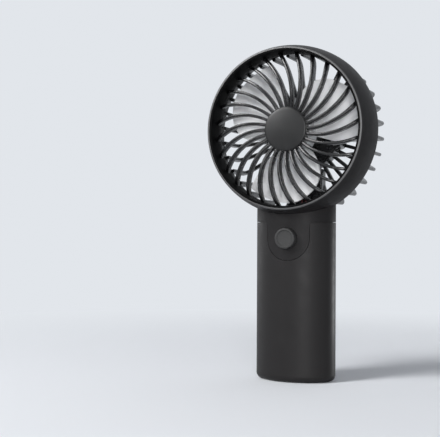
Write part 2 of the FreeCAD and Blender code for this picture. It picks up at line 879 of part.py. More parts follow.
def head_housing():
    """Drum, neck, tongue and spigot in one moulding, with its hollow neck and screw posts."""
    wall = drum()
    neck_sketch = loose_sketch("neck_outside", "XY", SEAM_HEIGHT)
    handle_oval(neck_sketch, 0)
    neck = extrusion("neck_blank", neck_sketch, HEAD_HEIGHT - SEAM_HEIGHT - S.head_radius * 0.75)
    mouth = cylinder(
        "neck_under_drum", WIDE_BORE + S.drum_wall / 4, S.front_overhang + S.drum_depth,
        y=-S.front_overhang * 2, z=HEAD_HEIGHT, along="Y",
    )
    saddle = cylinder(
        "neck_under_rear_guard", REAR_BORE, REAR_DEPTH,
        y=S.drum_depth - S.front_overhang, z=HEAD_HEIGHT, along="Y",
    )
    neck = cut("neck_scooped", neck, fuse("neck_scoops", [mouth, saddle]))
    spigot_sketch = loose_sketch("spigot_outside", "XY", SEAM_HEIGHT - S.spigot_depth)
    handle_oval(spigot_sketch, S.handle_wall + S.fit_clearance)
    spigot = extrusion("spigot_blank", spigot_sketch, S.spigot_depth + S.seam_gap)
    tongue_sketch = loose_sketch("tongue_face", "XZ", 0)
    tongue_outline(tongue_sketch, 0)
    tongue_prism = doc.addObject("Part::Extrusion", "tongue_prism")
    tongue_prism.Base = tongue_sketch
    tongue_prism.DirMode = "Custom"
    tongue_prism.Dir = Vector(0, -1, 0)
    tongue_prism.Solid = True
    bind(tongue_prism, "LengthFwd", S.handle_depth)
    foot = BUTTON_HEIGHT - TONGUE_RADIUS - S.handle_wall
    tongue_oval = loose_sketch("tongue_oval", "XY", foot)
    handle_oval(tongue_oval, 0)
    block = extrusion("tongue_block", tongue_oval, SEAM_HEIGHT - foot + S.seam_gap)
    tongue = common("tongue_blank", block, tongue_prism)
    room_sketch = loose_sketch("neck_inside", "XY", foot)
    handle_oval(room_sketch, NECK_INSET)
    room = cut(
        "neck_room",
        extrusion("neck_room_blank", room_sketch, HEAD_HEIGHT - foot - S.head_radius * 0.75),
        cylinder(
            "neck_room_roof", REAR_BORE + S.neck_roof, S.handle_depth * 2,
            y=-S.handle_depth, z=HEAD_HEIGHT, along="Y",
        ),
    )
    button_hole = cylinder(
        "button_hole", S.button_radius + S.button_clearance, S.handle_depth,
        y=-S.handle_depth, z=BUTTON_HEIGHT, along="Y",
    )
    lead_hole = box(
        "lead_hole", S.lead_hole_width, S.lead_hole_depth, S.head_radius,
        y=LEAD_PLACE - S.lead_hole_depth / 2, z=SEAM_HEIGHT,
    )
    shell = cut(
        "housing_shell",
        fuse("housing_blank", [wall, neck, spigot, tongue]),
        fuse("housing_cuts", [room, button_hole, lead_hole]),
    )
    posts = []
    holes = []
    post_root = S.board_post_root - HALF_DEPTH
    for side, half in (("left", -0.5), ("right", 0.5)):
        x = S.board_screw_spread * half
        z = BOARD_SCREW_LEVEL
        posts.append(
            cylinder(f"board_post_{side}", S.board_post_radius, BOARD_FRONT - post_root, x, post_root, z, "Y")
        )
        depth = S.small_screw_length - S.board_thickness + S.fit_clearance
        holes.append(
            cylinder(f"board_hole_{side}", S.board_screw_radius, depth, x, BOARD_FRONT - depth, z, "Y")
        )
        x = S.neck_screw_spread * half
        z = NECK_SCREW_LEVEL
        posts.append(
            cylinder(
                f"neck_post_{side}", S.neck_post_radius, NECK_POST_BACK - PLATE_BACK, x, PLATE_BACK, z, "Y"
            )
        )
        holes.append(
            cylinder(
                f"neck_hole_{side}", S.neck_screw_radius + S.fit_clearance,
                NECK_SCREW_SEAT - PLATE_BACK, x, PLATE_BACK, z, "Y",
            )
        )
        holes.append(
            cylinder(
                f"neck_head_seat_{side}", S.small_head_radius + S.fit_clearance, S.handle_wall * 2,
                x, NECK_SCREW_SEAT, z, "Y",
            )
        )
    shell = fuse("housing_with_posts", [shell] + posts)
    return keep(cut("head_housing", shell, fuse("post_holes", holes)), "head_housing")


# ---------------------------------------------------------------------------------------
# Impeller
# ---------------------------------------------------------------------------------------
# The blade's free edges, as angle from the blade's leading corner and share of the reach
# from hub to tip.
LEADING_EDGE = [(0.0, 0.0), (-1.5, 0.2), (-1.3, 0.45), (0.8, 0.7), (2.0, 0.85)]
TIP_START, TIP_END = 3.5, 39.0
TRAILING_EDGE = [
    (47.0, 0.97), (54.0, 0.915), (63.5, 0.83), (72.0, 0.72), (77.5, 0.62), (82.5, 0.49), (86.5, 0.34),
    (89.5, 0.18), (91.0, 0.0),
]


def polar(radius, degrees):
    return Vector(radius * math.cos(math.radians(degrees)), 0, radius * math.sin(math.radians(degrees)))


def blade_plan():
    """The blade seen from the front, as a face in the lip's plane."""
    root = S.hub_radius.value - S.hub_wall.value / 2
    tip = BLADE_TIP.value
    start = S.blade_phase.value

    def place(angle, share):
        return polar(root + (tip - root) * share, start + angle)

    def curve(points):
        spline = Part.BSplineCurve()
        spline.interpolate(points)
        return spline.toShape()

    tip_start, tip_end = place(TIP_START, 1.0), place(TIP_END, 1.0)
    leading = [place(*point) for point in LEADING_EDGE] + [tip_start]
    trailing = [tip_end] + [place(*point) for point in TRAILING_EDGE]
    tip_arc = Part.Arc(tip_start, place((TIP_START + TIP_END) / 2, 1.0), tip_end).toShape()
    root_middle = place((LEADING_EDGE[0][0] + TRAILING_EDGE[-1][0]) / 2, 0.0)
    root_arc = Part.Arc(trailing[-1], root_middle, leading[0]).toShape()
    return Part.Face(Part.Wire([curve(leading), tip_arc, curve(trailing), root_arc]))


def blade_sheet():
    """A twisted sheet wider than the blade: radial slices, the leading ones further back."""
    inside = S.hub_radius.value / 2
    outside = BLADE_TIP.value + S.drum_wall.value
    first = S.blade_phase.value - S.blade_margin.value
    sweep = S.blade_span.value + S.blade_margin.value * 2
    slices = []
    for step in range(BLADE_SLICES + 1):
        share = step / BLADE_SLICES
        depth = S.blade_front.value + S.blade_pitch_depth.value * (1 - share)
        front = depth + S.blade_camber.value * math.sin(math.pi * share)
        corners = []
        for radius, back in ((inside, 0), (outside, 0), (outside, 1), (inside, 1)):
            point = polar(radius, first + sweep * share)
            point.y = front + back * S.blade_thickness.value
            corners.append(point)
        slices.append(Part.makePolygon(corners + corners[:1]))
    return Part.makeLoft(slices, True, False)


BLADE_SLICES = 8


def impeller():
    """Hub cup, boss on the shaft, and the broad blades, in one moulding."""
    inside = S.hub_radius - S.hub_wall
    hub = turned(
        "impeller_hub",
        [
            (S.shaft_radius, S.hub_front + S.screw_head_height),
            (S.screw_head_radius + S.fit_clearance, S.hub_front + S.screw_head_height),
            (S.screw_head_radius + S.fit_clearance, S.hub_front),
            (S.hub_radius, S.hub_front),
            (S.hub_radius, IMPELLER_BACK),
            (inside, IMPELLER_BACK),
            (inside, S.hub_front + S.hub_wall * 1.5),
            (S.boss_radius, S.hub_front + S.hub_wall * 1.5),
            (S.boss_radius, S.hub_front + S.boss_length),
            (S.shaft_radius, S.hub_front + S.boss_length),
        ],
        rounds=[(S.hub_radius, S.hub_front, S.hub_edge_radius)],
    )
    on_head(hub)
    plan = blade_plan()
    reach = REAR_DEPTH.value
    plan.translate(Vector(0, -reach / 4, 0))
    blade = blade_sheet().common(plan.extrude(Vector(0, reach * 1.5, 0)))
    count = int(S.blade_count.value)
    blades = []
    for step in range(count):
        made = doc.addObject("Part::Feature", f"blade{step}")
        copy = blade.copy()
        copy.rotate(Vector(), Vector(0, 1, 0), -step * 360 / count)
        made.Shape = copy
        blades.append(on_head(made))
    return keep(fuse("impeller", [hub] + blades), "impeller")


def impeller_screw():
    seat = S.hub_front + S.screw_head_height
    body = turned(
        "impeller_screw",
        [
            (0, S.hub_front),
            (S.screw_head_radius, S.hub_front),
            (S.screw_head_radius, seat),
            (S.boss_screw_radius, seat),
            (S.boss_screw_radius, seat + S.boss_screw_length),
            (0, seat + S.boss_screw_length),
        ],
    )
    return keep(on_head(body))


# ---------------------------------------------------------------------------------------
# Motor
# ---------------------------------------------------------------------------------------
BUSHING_BORE = S.shaft_radius + S.bearing_clearance


def motor_shaft():
    """The shaft, with the impeller screw's hole in its front end."""
    front = S.hub_front + S.screw_head_height
    hole_end = front + S.boss_screw_length + S.fit_clearance
    points = [
        (S.boss_screw_radius, front),
        (S.shaft_radius, front),
        (S.shaft_radius, SHAFT_REAR),
        (0, SHAFT_REAR),
        (0, hole_end),
        (S.boss_screw_radius, hole_end),
    ]
    return keep(on_head(turned("motor_shaft", points)))


def motor_can():
    inside = S.can_radius - S.can_wall
    points = [
        (S.bushing_radius, CAN_FRONT),
        (S.can_radius, CAN_FRONT),
        (S.can_radius, CAN_BACK),
        (inside, CAN_BACK),
        (inside, CAN_FRONT + S.can_wall),
        (S.bushing_radius, CAN_FRONT + S.can_wall),
    ]
    return keep(on_head(turned("motor_can", points, [(S.can_radius, CAN_FRONT, S.can_wall / 2)])))


def motor_end_cap():
    points = [
        (S.bushing_radius, CAN_BACK),
        (S.can_radius, CAN_BACK),
        (S.can_radius, END_CAP_BACK),
        (S.bushing_radius, END_CAP_BACK),
    ]
    return keep(on_head(turned("motor_end_cap", points)))


def bushing(name, front):
    back = front + S.bushing_length
    outside = S.bushing_radius
    points = [(BUSHING_BORE, front), (outside, front), (outside, back), (BUSHING_BORE, back)]
    return keep(on_head(turned(name, points)))


def motor_magnets():
    """Two curved magnets glued inside the can."""
    body = new_body("motor_magnets")
    outside = S.can_radius - S.can_wall
    inside = outside - S.magnet_thickness
    front = CAN_FRONT + S.can_wall * 2
    ring = new_sketch(body, "XY_Plane", "ring")
    back = CAN_BACK - S.can_wall
    outline(ring, [(inside, front), (outside, front), (outside, back), (inside, back)])
    lathe(body, "ring_turned", ring)
    split = new_sketch(body, "XZ_Plane", "split")
    half = S.magnet_split / 2
    outline(
        split,
        [(-half, -S.can_radius), (half, -S.can_radius), (half, S.can_radius), (-half, S.can_radius)],
    )
    pocket(body, "split_cut", split, symmetric=True)
    return keep(on_head(body))


def armature_radius():
    return S.can_radius - S.can_wall - S.magnet_thickness - S.air_gap


def motor_armature():
    """The slotted iron core on the shaft."""
    body = new_body("motor_armature")
    radius = armature_radius()
    back = ARMATURE_FRONT + S.armature_length
    core = new_sketch(body, "XY_Plane", "core")
    outline(
        core,
        [
            (S.shaft_radius, ARMATURE_FRONT),
            (radius, ARMATURE_FRONT),
            (radius, back),
            (S.shaft_radius, back),
        ],
    )
    lathe(body, "core_turned", core)
    slot = new_sketch(body, "XZ_Plane", "slot", offset=-ARMATURE_FRONT)
    half = S.slot_width / 2
    outline(
        slot,
        [
            (S.armature_neck, -half),
            (radius + S.air_gap, -half),
            (radius + S.air_gap, half),
            (S.armature_neck, half),
        ],
    )
    made = pocket(body, "slot_cut", slot, S.armature_length * 2, symmetric=True)
    pattern(body, "slots", made, "Y_Axis", S.armature_slots)
    return keep(on_head(body))


def motor_windings():
    """The coil heads that stand out before and behind the core."""
    rings = []
    for side, front in (
        ("front", ARMATURE_FRONT - S.winding_overhang),
        ("rear", ARMATURE_FRONT + S.armature_length),
    ):
        back = front + S.winding_overhang
        outside = armature_radius() - S.winding_overhang
        points = [(S.shaft_radius, front), (outside, front), (outside, back), (S.shaft_radius, back)]
        rings.append(on_head(turned(f"winding_{side}", points)))
    return keep(group("motor_windings", rings), "motor_windings")


def commutator():
    front = ARMATURE_FRONT + S.armature_length + S.winding_overhang
    back = front + S.commutator_length
    radius = S.commutator_radius
    points = [(S.shaft_radius, front), (radius, front), (radius, back), (S.shaft_radius, back)]
    return keep(on_head(turned("commutator", points)))


def motor_brushes():
    """Two brushes either side of the commutator, in the end cap's reach."""
    front = ARMATURE_FRONT + S.armature_length + S.winding_overhang
    top = S.can_radius - S.can_wall - S.magnet_thickness
    length = top - S.commutator_radius - S.bearing_clearance
    depth = CAN_BACK - front - S.commutator_front_gap
    brushes = []
    for side, foot in (
        ("upper", S.commutator_radius + S.bearing_clearance),
        ("lower", -top),
    ):
        brushes.append(
            box(
                f"brush_{side}", S.brush_width, depth, length,
                y=front + S.commutator_front_gap - S.front_overhang, z=HEAD_HEIGHT + foot,
            )
        )
    return keep(group("motor_brushes", brushes), "motor_brushes")


def motor_holder():
    """The flanged sleeve that carries the motor in front of the rear guard's cup."""
    body = new_body("motor_holder")
    bore = S.can_radius + S.bearing_clearance
    sleeve = new_sketch(body, "XY_Plane", "sleeve")
    flange_back = HOLDER_FLANGE + S.flange_thickness
    outline(
        sleeve,
        [
            (S.bushing_radius + S.holder_wall * 2, HOLDER_FRONT),
            (bore + S.holder_wall, HOLDER_FRONT),
            (bore + S.holder_wall, HOLDER_FLANGE),
            (S.flange_radius, HOLDER_FLANGE),
            (S.flange_radius, flange_back),
            (bore + S.holder_wall, flange_back),
            (bore + S.holder_wall, CAN_BACK),
            (bore, CAN_BACK),
            (bore, CAN_FRONT),
            (S.bushing_radius + S.holder_wall * 2, CAN_FRONT),
        ],
    )
    lathe(body, "sleeve_turned", sleeve)
    ear = new_sketch(body, "XZ_Plane", "ear", offset=-HOLDER_FLANGE, turn=(NORMAL, S.ear_phase))
    circle(ear, S.ear_circle, 0, S.ear_radius)
    ear_pad = pad(body, "ear_pad", ear, S.flange_thickness, reversed=True)
    pattern(body, "ears", ear_pad, "Y_Axis", S.ear_count)
    hole = new_sketch(body, "XZ_Plane", "hole", offset=-HOLDER_FLANGE, turn=(NORMAL, S.ear_phase))
    circle(hole, S.ear_circle, 0, S.ear_screw_radius + S.fit_clearance)
    hole_cut = pocket(body, "hole_cut", hole, S.flange_thickness * 2, symmetric=True)
    pattern(body, "holes", hole_cut, "Y_Axis", S.ear_count)
    return keep(on_head(body))


# ---------------------------------------------------------------------------------------
# Rear guard
# ---------------------------------------------------------------------------------------
def rear_guard():
    """The basket behind the drum: cup, bent ribs, ring, and the spine that carries the leads."""
    body = new_body("rear_guard")
    cup_front = HOLDER_FLANGE + S.flange_thickness
    inside = S.cup_radius - S.cup_wall
    floor = REAR_DEPTH - S.cup_floor
    recess = S.rear_cap_radius + S.fit_clearance
    cup = new_sketch(body, "XY_Plane", "cup")
    outline(
        cup,
        [
            (POST_HOLE, floor),
            (inside, floor),
            (inside, cup_front),
            (S.cup_radius, cup_front),
            (S.cup_radius, REAR_DEPTH),
            (recess, REAR_DEPTH),
            (recess, REAR_DEPTH - S.rear_cap_recess),
            (POST_HOLE, REAR_DEPTH - S.rear_cap_recess),
        ],
    )
    lathe(body, "cup_turned", cup)
    start = S.drum_depth + S.seam_gap
    ring = REAR_RING
    width, bend = S.rear_rib_width, S.rear_rib_bend
    root = S.cup_radius - S.cup_wall / 2
    half = S.spine_width / 2
    spine = new_sketch(body, "XZ_Plane", "spine", offset=-SPINE_FRONT)
    top = -(S.cup_radius - S.cup_wall / 2)
    outline(spine, [(-half, top), (half, top), (half, -ring), (-half, -ring)])
    pad(body, "spine_pad", spine, REAR_DEPTH - S.spine_inset - SPINE_FRONT, reversed=True)
    foot = new_sketch(body, "XZ_Plane", "foot", offset=-start)
    foot_top = -(ring - S.foot_height)
    outline(foot, [(-half, foot_top), (half, foot_top), (half, -ring), (-half, -ring)])
    pad(body, "foot_pad", foot, SPINE_FRONT - start + S.cup_wall, reversed=True)
    outside = new_sketch(body, "XY_Plane", "outside")
    edge = ring - S.spine_inset
    back = REAR_DEPTH - S.spine_inset
    beyond = ring + S.cup_radius
    outline(
        outside,
        [
            (edge, start - bend),
            (beyond, start - bend),
            (beyond, back + bend),
            (edge - bend, back + bend),
            (edge - bend, back, -bend),
            (edge, back - bend),
        ],
    )
    lathe(body, "outside_cut", outside, "Groove")
    rib = new_sketch(body, "XY_Plane", "rib", turn=(Vector(0, 1, 0), -S.rear_rib_phase))
    outline(
        rib,
        [
            (ring, start),
            (ring, REAR_DEPTH - bend, bend),
            (ring - bend, REAR_DEPTH),
            (root, REAR_DEPTH),
            (root, REAR_DEPTH - width),
            (ring - bend, REAR_DEPTH - width, -(bend - width)),
            (ring - width, REAR_DEPTH - bend),
            (ring - width, start),
        ],
    )
    rib_pad = pad(body, "rib_pad", rib, S.rear_rib_thickness, symmetric=True)
    pattern(body, "ribs", rib_pad, "Y_Axis", S.rear_rib_count)
    spigot = WIDE_BORE - S.fit_clearance
    ring_sketch = new_sketch(body, "XY_Plane", "ring")
    outline(
        ring_sketch,
        [
            (ring - S.rear_ring_wall, SPIGOT_FRONT),
            (spigot, SPIGOT_FRONT),
            (spigot, start),
            (ring, start),
            (ring, start + S.rear_collar),
            (ring - S.rear_ring_wall, start + S.rear_collar),
        ],
    )
    lathe(body, "ring_turned", ring_sketch)
    lead_hole = new_sketch(body, "XY_Plane", "lead_hole")
    hole_front = LEAD_PLACE + S.front_overhang - S.lead_hole_depth / 2
    hole_half = S.lead_hole_width / 2
    outline(
        lead_hole,
        [
            (-hole_half, hole_front),
            (hole_half, hole_front),
            (hole_half, hole_front + S.lead_hole_depth),
            (-hole_half, hole_front + S.lead_hole_depth),
        ],
    )
    pocket(body, "lead_hole_cut", lead_hole)
    gate = new_sketch(body, "XZ_Plane", "gate", offset=-cup_front)
    outline(
        gate,
        [
            (-hole_half, -S.cup_radius - S.cup_wall),
            (hole_half, -S.cup_radius - S.cup_wall),
            (hole_half, -inside + S.cup_wall),
            (-hole_half, -inside + S.cup_wall),
        ],
    )
    pocket(body, "gate_cut", gate, SPINE_FRONT + S.lead_hole_depth - cup_front)
    post = new_sketch(body, "XZ_Plane", "post", offset=-cup_front, turn=(NORMAL, S.ear_phase))
    circle(post, S.ear_circle, 0, S.ear_radius - S.seam_gap)
    post_pad = pad(body, "post_pad", post, REAR_DEPTH - cup_front, reversed=True)
    pattern(body, "posts", post_pad, "Y_Axis", S.ear_count)
    hole = new_sketch(body, "XZ_Plane", "screw_hole", offset=-cup_front, turn=(NORMAL, S.ear_phase))
    circle(hole, S.ear_circle, 0, S.ear_screw_radius)
    hole_cut = pocket(body, "screw_hole_cut", hole, S.ear_screw_length)
    pattern(body, "screw_holes", hole_cut, "Y_Axis", S.ear_count)
    return keep(on_head(body))


def rear_cap():
    """The plain disc over the cup's floor."""
    front = REAR_DEPTH - S.rear_cap_recess
    back = front + S.rear_cap_thickness
    post_end = front - S.cup_floor + S.rear_cap_recess
    body = turned(
        "rear_cap",
        [
            (0, post_end),
            (S.cap_post_radius, post_end),
            (S.cap_post_radius, front),
            (S.rear_cap_radius, front),
            (S.rear_cap_radius, back),
            (0, back),
        ],
        rounds=[(S.rear_cap_radius, back, S.rear_cap_recess)],
    )
    return keep(on_head(body))


# ---------------------------------------------------------------------------------------
# Screws
# ---------------------------------------------------------------------------------------
def screw(name, head, shank, seat, along, towards=1):
    """A screw: head and shank are (radius, length), and the head stands on seat."""
    head_radius, head_height = head
    radius, length = shank
    starts = (-head_height, 0) if towards > 0 else (0, -length)
    pieces = []
    for kind, radius_, long_, start in (
        ("head", head_radius, head_height, starts[0]),
        ("shank", radius, length, starts[1]),
    ):
        place = dict(zip("XYZ", seat))
        place[along] = place[along] + start
        pieces.append(cylinder(f"{name}_{kind}", radius_, long_, *place.values(), along))
    return fuse(name, pieces)


def around(radius, angle):
    """The x and z of a point at this radius and angle in the lip's plane."""
    turn = math.radians(angle.value)
    return (
        Length(radius.value * math.cos(turn), f"({radius.text} * cos({angle.text}))"),
        Length(radius.value * math.sin(turn), f"({radius.text} * sin({angle.text}))"),
    )


def holder_screws():
    made = []
    count = int(S.ear_count.value)
    for step in range(count):
        x, z = around(S.ear_circle, S.ear_phase + 360.0 * step / count)
        made.append(
            screw(
                f"holder_screw{step}",
                (S.screw_head_radius, S.screw_head_height),
                (S.ear_screw_radius, S.ear_screw_length),
                (x, HOLDER_FLANGE - S.front_overhang, z + HEAD_HEIGHT),
                "Y",
            )
        )
    return keep(group("holder_screws", made), "holder_screws")


def pair_of_screws(name, head, shank, spread, y, z, along, towards=1):
    made = [
        screw(f"{name}_{side}", head, shank, (spread * half, y, z), along, towards)
        for side, half in (("left", -0.5), ("right", 0.5))
    ]
    return keep(group(name, made), name)


# ---------------------------------------------------------------------------------------
# Button and boards
# ---------------------------------------------------------------------------------------
BUTTON_FRONT = -(HALF_DEPTH + S.button_proud)
FLANGE_FRONT = S.button_flange_gap + NECK_INSET - HALF_DEPTH
FLANGE_BACK = FLANGE_FRONT + S.button_flange_thickness
SWITCH_FRONT = BOARD_FRONT - S.switch_body
BOARD_BACK = BOARD_FRONT + S.board_thickness
CHARGE_TOP = USB_LEVEL - S.usb_height / 2
CHARGE_FOOT = CHARGE_TOP - S.board_thickness


def power_button():
    """The round button: a hollow cap with a stem and a flange that stops it in its hole."""
    flange = S.button_radius + S.button_flange
    wall = S.button_flange
    roof = BUTTON_FRONT + wall
    body = turned(
        "power_button",
        [
            (0, BUTTON_FRONT),
            (S.button_radius, BUTTON_FRONT),
            (S.button_radius, FLANGE_FRONT),
            (flange, FLANGE_FRONT),
            (flange, FLANGE_BACK),
            (S.button_radius - wall, FLANGE_BACK),
            (S.button_radius - wall, roof),
            (S.plunger_radius + wall, roof),
            (S.plunger_radius + wall, FLANGE_BACK),
            (0, FLANGE_BACK),
        ],
        rounds=[(S.button_radius, BUTTON_FRONT, S.button_edge_radius)],
    )
    bind(body, "Placement.Base.z", BUTTON_HEIGHT)
    return keep(body)


def switch_plunger():
    made = cylinder(
        "switch_plunger", S.plunger_radius, S.plunger_length, y=FLANGE_BACK, z=BUTTON_HEIGHT, along="Y"
    )
    return keep(made, "switch_plunger")


def tact_switch():
    """The push switch under the button, with the well its plunger slides in."""
    body = box(
        "switch_block", S.switch_size, S.switch_body, S.switch_size,
        y=SWITCH_FRONT, z=BUTTON_HEIGHT - S.switch_size / 2,
    )
    well_depth = S.plunger_length - S.plunger_proud + S.button_travel + S.fit_clearance * 2
    well = cylinder(
        "switch_well", S.plunger_radius + S.fit_clearance, well_depth,
        y=SWITCH_FRONT, z=BUTTON_HEIGHT, along="Y",
    )
    return keep(cut("tact_switch", body, well), "tact_switch")


def control_board():
    board = box(
        "control_board_blank", S.board_width, S.board_thickness, S.board_height,
        y=BOARD_FRONT, z=BOARD_FOOT,
    )
    holes = [
        cylinder(
            f"control_board_hole_{side}", S.board_screw_radius + S.fit_clearance, S.board_thickness,
            S.board_screw_spread * half, BOARD_FRONT, BOARD_SCREW_LEVEL, "Y",
        )
        for side, half in (("left", -0.5), ("right", 0.5))
    ]
    return keep(cut("control_board", board, fuse("control_board_holes", holes)), "control_board")


def charge_board():
    board = box(
        "charge_board_blank", S.charge_board_width, S.charge_board_depth, S.board_thickness,
        y=S.shelf_front, z=CHARGE_FOOT,
    )
    holes = [
        cylinder(
            f"charge_board_hole_{side}", S.board_screw_radius + S.fit_clearance, S.board_thickness,
            S.charge_screw_spread * half, S.charge_screw_place, CHARGE_FOOT,
        )
        for side, half in (("left", -0.5), ("right", 0.5))
    ]
    return keep(cut("charge_board", board, fuse("charge_board_holes", holes)), "charge_board")


def stadium(sketch, width, height):
    """A slot with round ends about the sketch's origin."""
    half = (width - height) / 2
    end = height / 2
    outline(sketch, [(-half, -end), (half, -end, end), (half, end), (-half, end, end)])


def usb_socket():
    """The charging socket: a drawn shell, closed behind, with its contact tongue."""
    body = new_body("usb_socket")
    shell = new_sketch(body, "XZ_Plane", "shell")
    stadium(shell, S.usb_width, S.usb_height)
    pad(body, "shell_pad", shell, S.usb_length)
    mouth = new_sketch(body, "XZ_Plane", "mouth")
    stadium(mouth, S.usb_width - S.usb_shell * 2, S.usb_height - S.usb_shell * 2)
    pocket(body, "mouth_cut", mouth, S.usb_length - S.usb_tongue_gap, reversed=True)
    tongue = new_sketch(body, "XZ_Plane", "tongue", offset=S.usb_tongue_gap)
    half = S.usb_tongue_width / 2
    rise = S.usb_tongue_thickness / 2
    outline(tongue, [(-half, -rise), (half, -rise), (half, rise), (-half, rise)])
    pad(body, "tongue_pad", tongue, S.usb_length - S.usb_tongue_gap * 2)
    bind(body, "Placement.Base.y", HALF_DEPTH - S.usb_setback)
    bind(body, "Placement.Base.z", USB_LEVEL)
    return keep(body)


# ---------------------------------------------------------------------------------------
# Cells and the frame that holds them
# ---------------------------------------------------------------------------------------
CELL_OFFSET = S.cell_radius + S.cell_gap / 2
CELL_TOP = S.cell_foot + S.cell_length
KEEPER_FOOT = CELL_TOP + S.tab_thickness


def battery_cell(name, side):
    cell = cylinder(f"{name}_blank", S.cell_radius, S.cell_length, CELL_OFFSET * side, 0, S.cell_foot)
    doc.recompute()
    made = doc.addObject("Part::Fillet", name)
    made.Base = cell
    made.Edges = [
        (index, S.cell_edge_radius.value, S.cell_edge_radius.value)
        for index, edge in enumerate(cell.Shape.Edges, start=1)
        if isinstance(edge.Curve, Part.Circle)
    ]
    return keep(made, name)


def cell_tabs():
    """The welded strips: one joins the cells below, one leads off each cell above."""
    half = S.tab_width / 2
    tabs = [
        box(
            "tab_below", CELL_OFFSET * 2 + S.tab_width, S.tab_width, S.tab_thickness,
            y=-half, z=S.cell_foot - S.tab_thickness,
        )
    ]
    for side, sign in (("left", -1), ("right", 1)):
        tabs.append(
            box(
                f"tab_{side}", S.tab_length, S.tab_width, S.tab_thickness,
                x=CELL_OFFSET * sign, y=-half, z=CELL_TOP,
            )
        )
    return keep(group("cell_tabs", tabs), "cell_tabs")


def inner_frame():
    """Floor, back plate, cell keeper and board shelf in one moulding."""
    floor_sketch = loose_sketch("frame_floor_outline", "XY", S.base_wall)
    handle_oval(floor_sketch, S.handle_wall + S.frame_clearance)
    floor = extrusion("frame_floor", floor_sketch, S.cell_foot - S.tab_thickness - S.base_wall)
    plate = box(
        "frame_back_plate", S.frame_width, S.frame_plate, FRAME_TOP - S.base_wall,
        y=PLATE_FRONT, z=S.base_wall,
    )
    keeper = box(
        "cell_keeper", S.keeper_width, PLATE_FRONT + S.keeper_front, S.keeper_thickness,
        y=-S.keeper_front, z=KEEPER_FOOT,
    )
    shelf = box(
        "board_shelf", S.charge_board_width, PLATE_FRONT - S.shelf_front, S.frame_plate,
        y=S.shelf_front, z=CHARGE_FOOT - S.frame_plate,
    )
    boss_depth = S.neck_screw_length + S.fit_clearance - (NECK_SCREW_SEAT - PLATE_BACK)
    solids = [floor, plate, keeper, shelf]
    holes = [
        box(
            "frame_window", S.charge_board_width + S.frame_clearance * 2, S.frame_plate,
            S.board_thickness + S.usb_height + S.frame_clearance * 2, y=PLATE_FRONT, z=CHARGE_FOOT,
        )
    ]
    for side, half in (("left", -0.5), ("right", 0.5)):
        x = S.neck_screw_spread * half
        z = NECK_SCREW_LEVEL
        boss_front = PLATE_BACK - boss_depth
        proud = boss_depth - S.frame_plate
        solids.append(
            cylinder(f"frame_boss_{side}", S.neck_post_radius, proud, x, boss_front, z, "Y")
        )
        holes.append(
            cylinder(f"boss_hole_{side}", S.neck_screw_radius, boss_depth, x, boss_front, z, "Y")
        )
        depth = S.base_screw_length - (S.base_wall - S.foot_pad_depth - S.base_screw_head) + S.fit_clearance
        x = S.base_screw_spread * half
        holes.append(
            cylinder(f"floor_hole_{side}", S.base_screw_radius, depth, x, 0, S.base_wall)
        )
        depth = S.frame_plate
        holes.append(
            cylinder(
                f"shelf_hole_{side}", S.board_screw_radius, depth,
                S.charge_screw_spread * half, S.charge_screw_place, CHARGE_FOOT - depth,
            )
        )
        holes.append(
            cylinder(
                f"keeper_hole_{side}", S.lead_radius + S.frame_clearance / 2, S.keeper_thickness,
                CELL_OFFSET * (half * 2), 0, KEEPER_FOOT,
            )
        )
    return keep(cut("inner_frame", fuse("frame_blank", solids), fuse("frame_holes", holes)), "inner_frame")


def foot_pads():
    pads = [
        cylinder(
            f"foot_pad_{side}", S.foot_pad_radius - S.fit_clearance, S.foot_pad_depth,
            S.base_screw_spread * half, 0, 0,
        )
        for side, half in (("left", -0.5), ("right", 0.5))
    ]
    return keep(group("foot_pads", pads), "foot_pads")


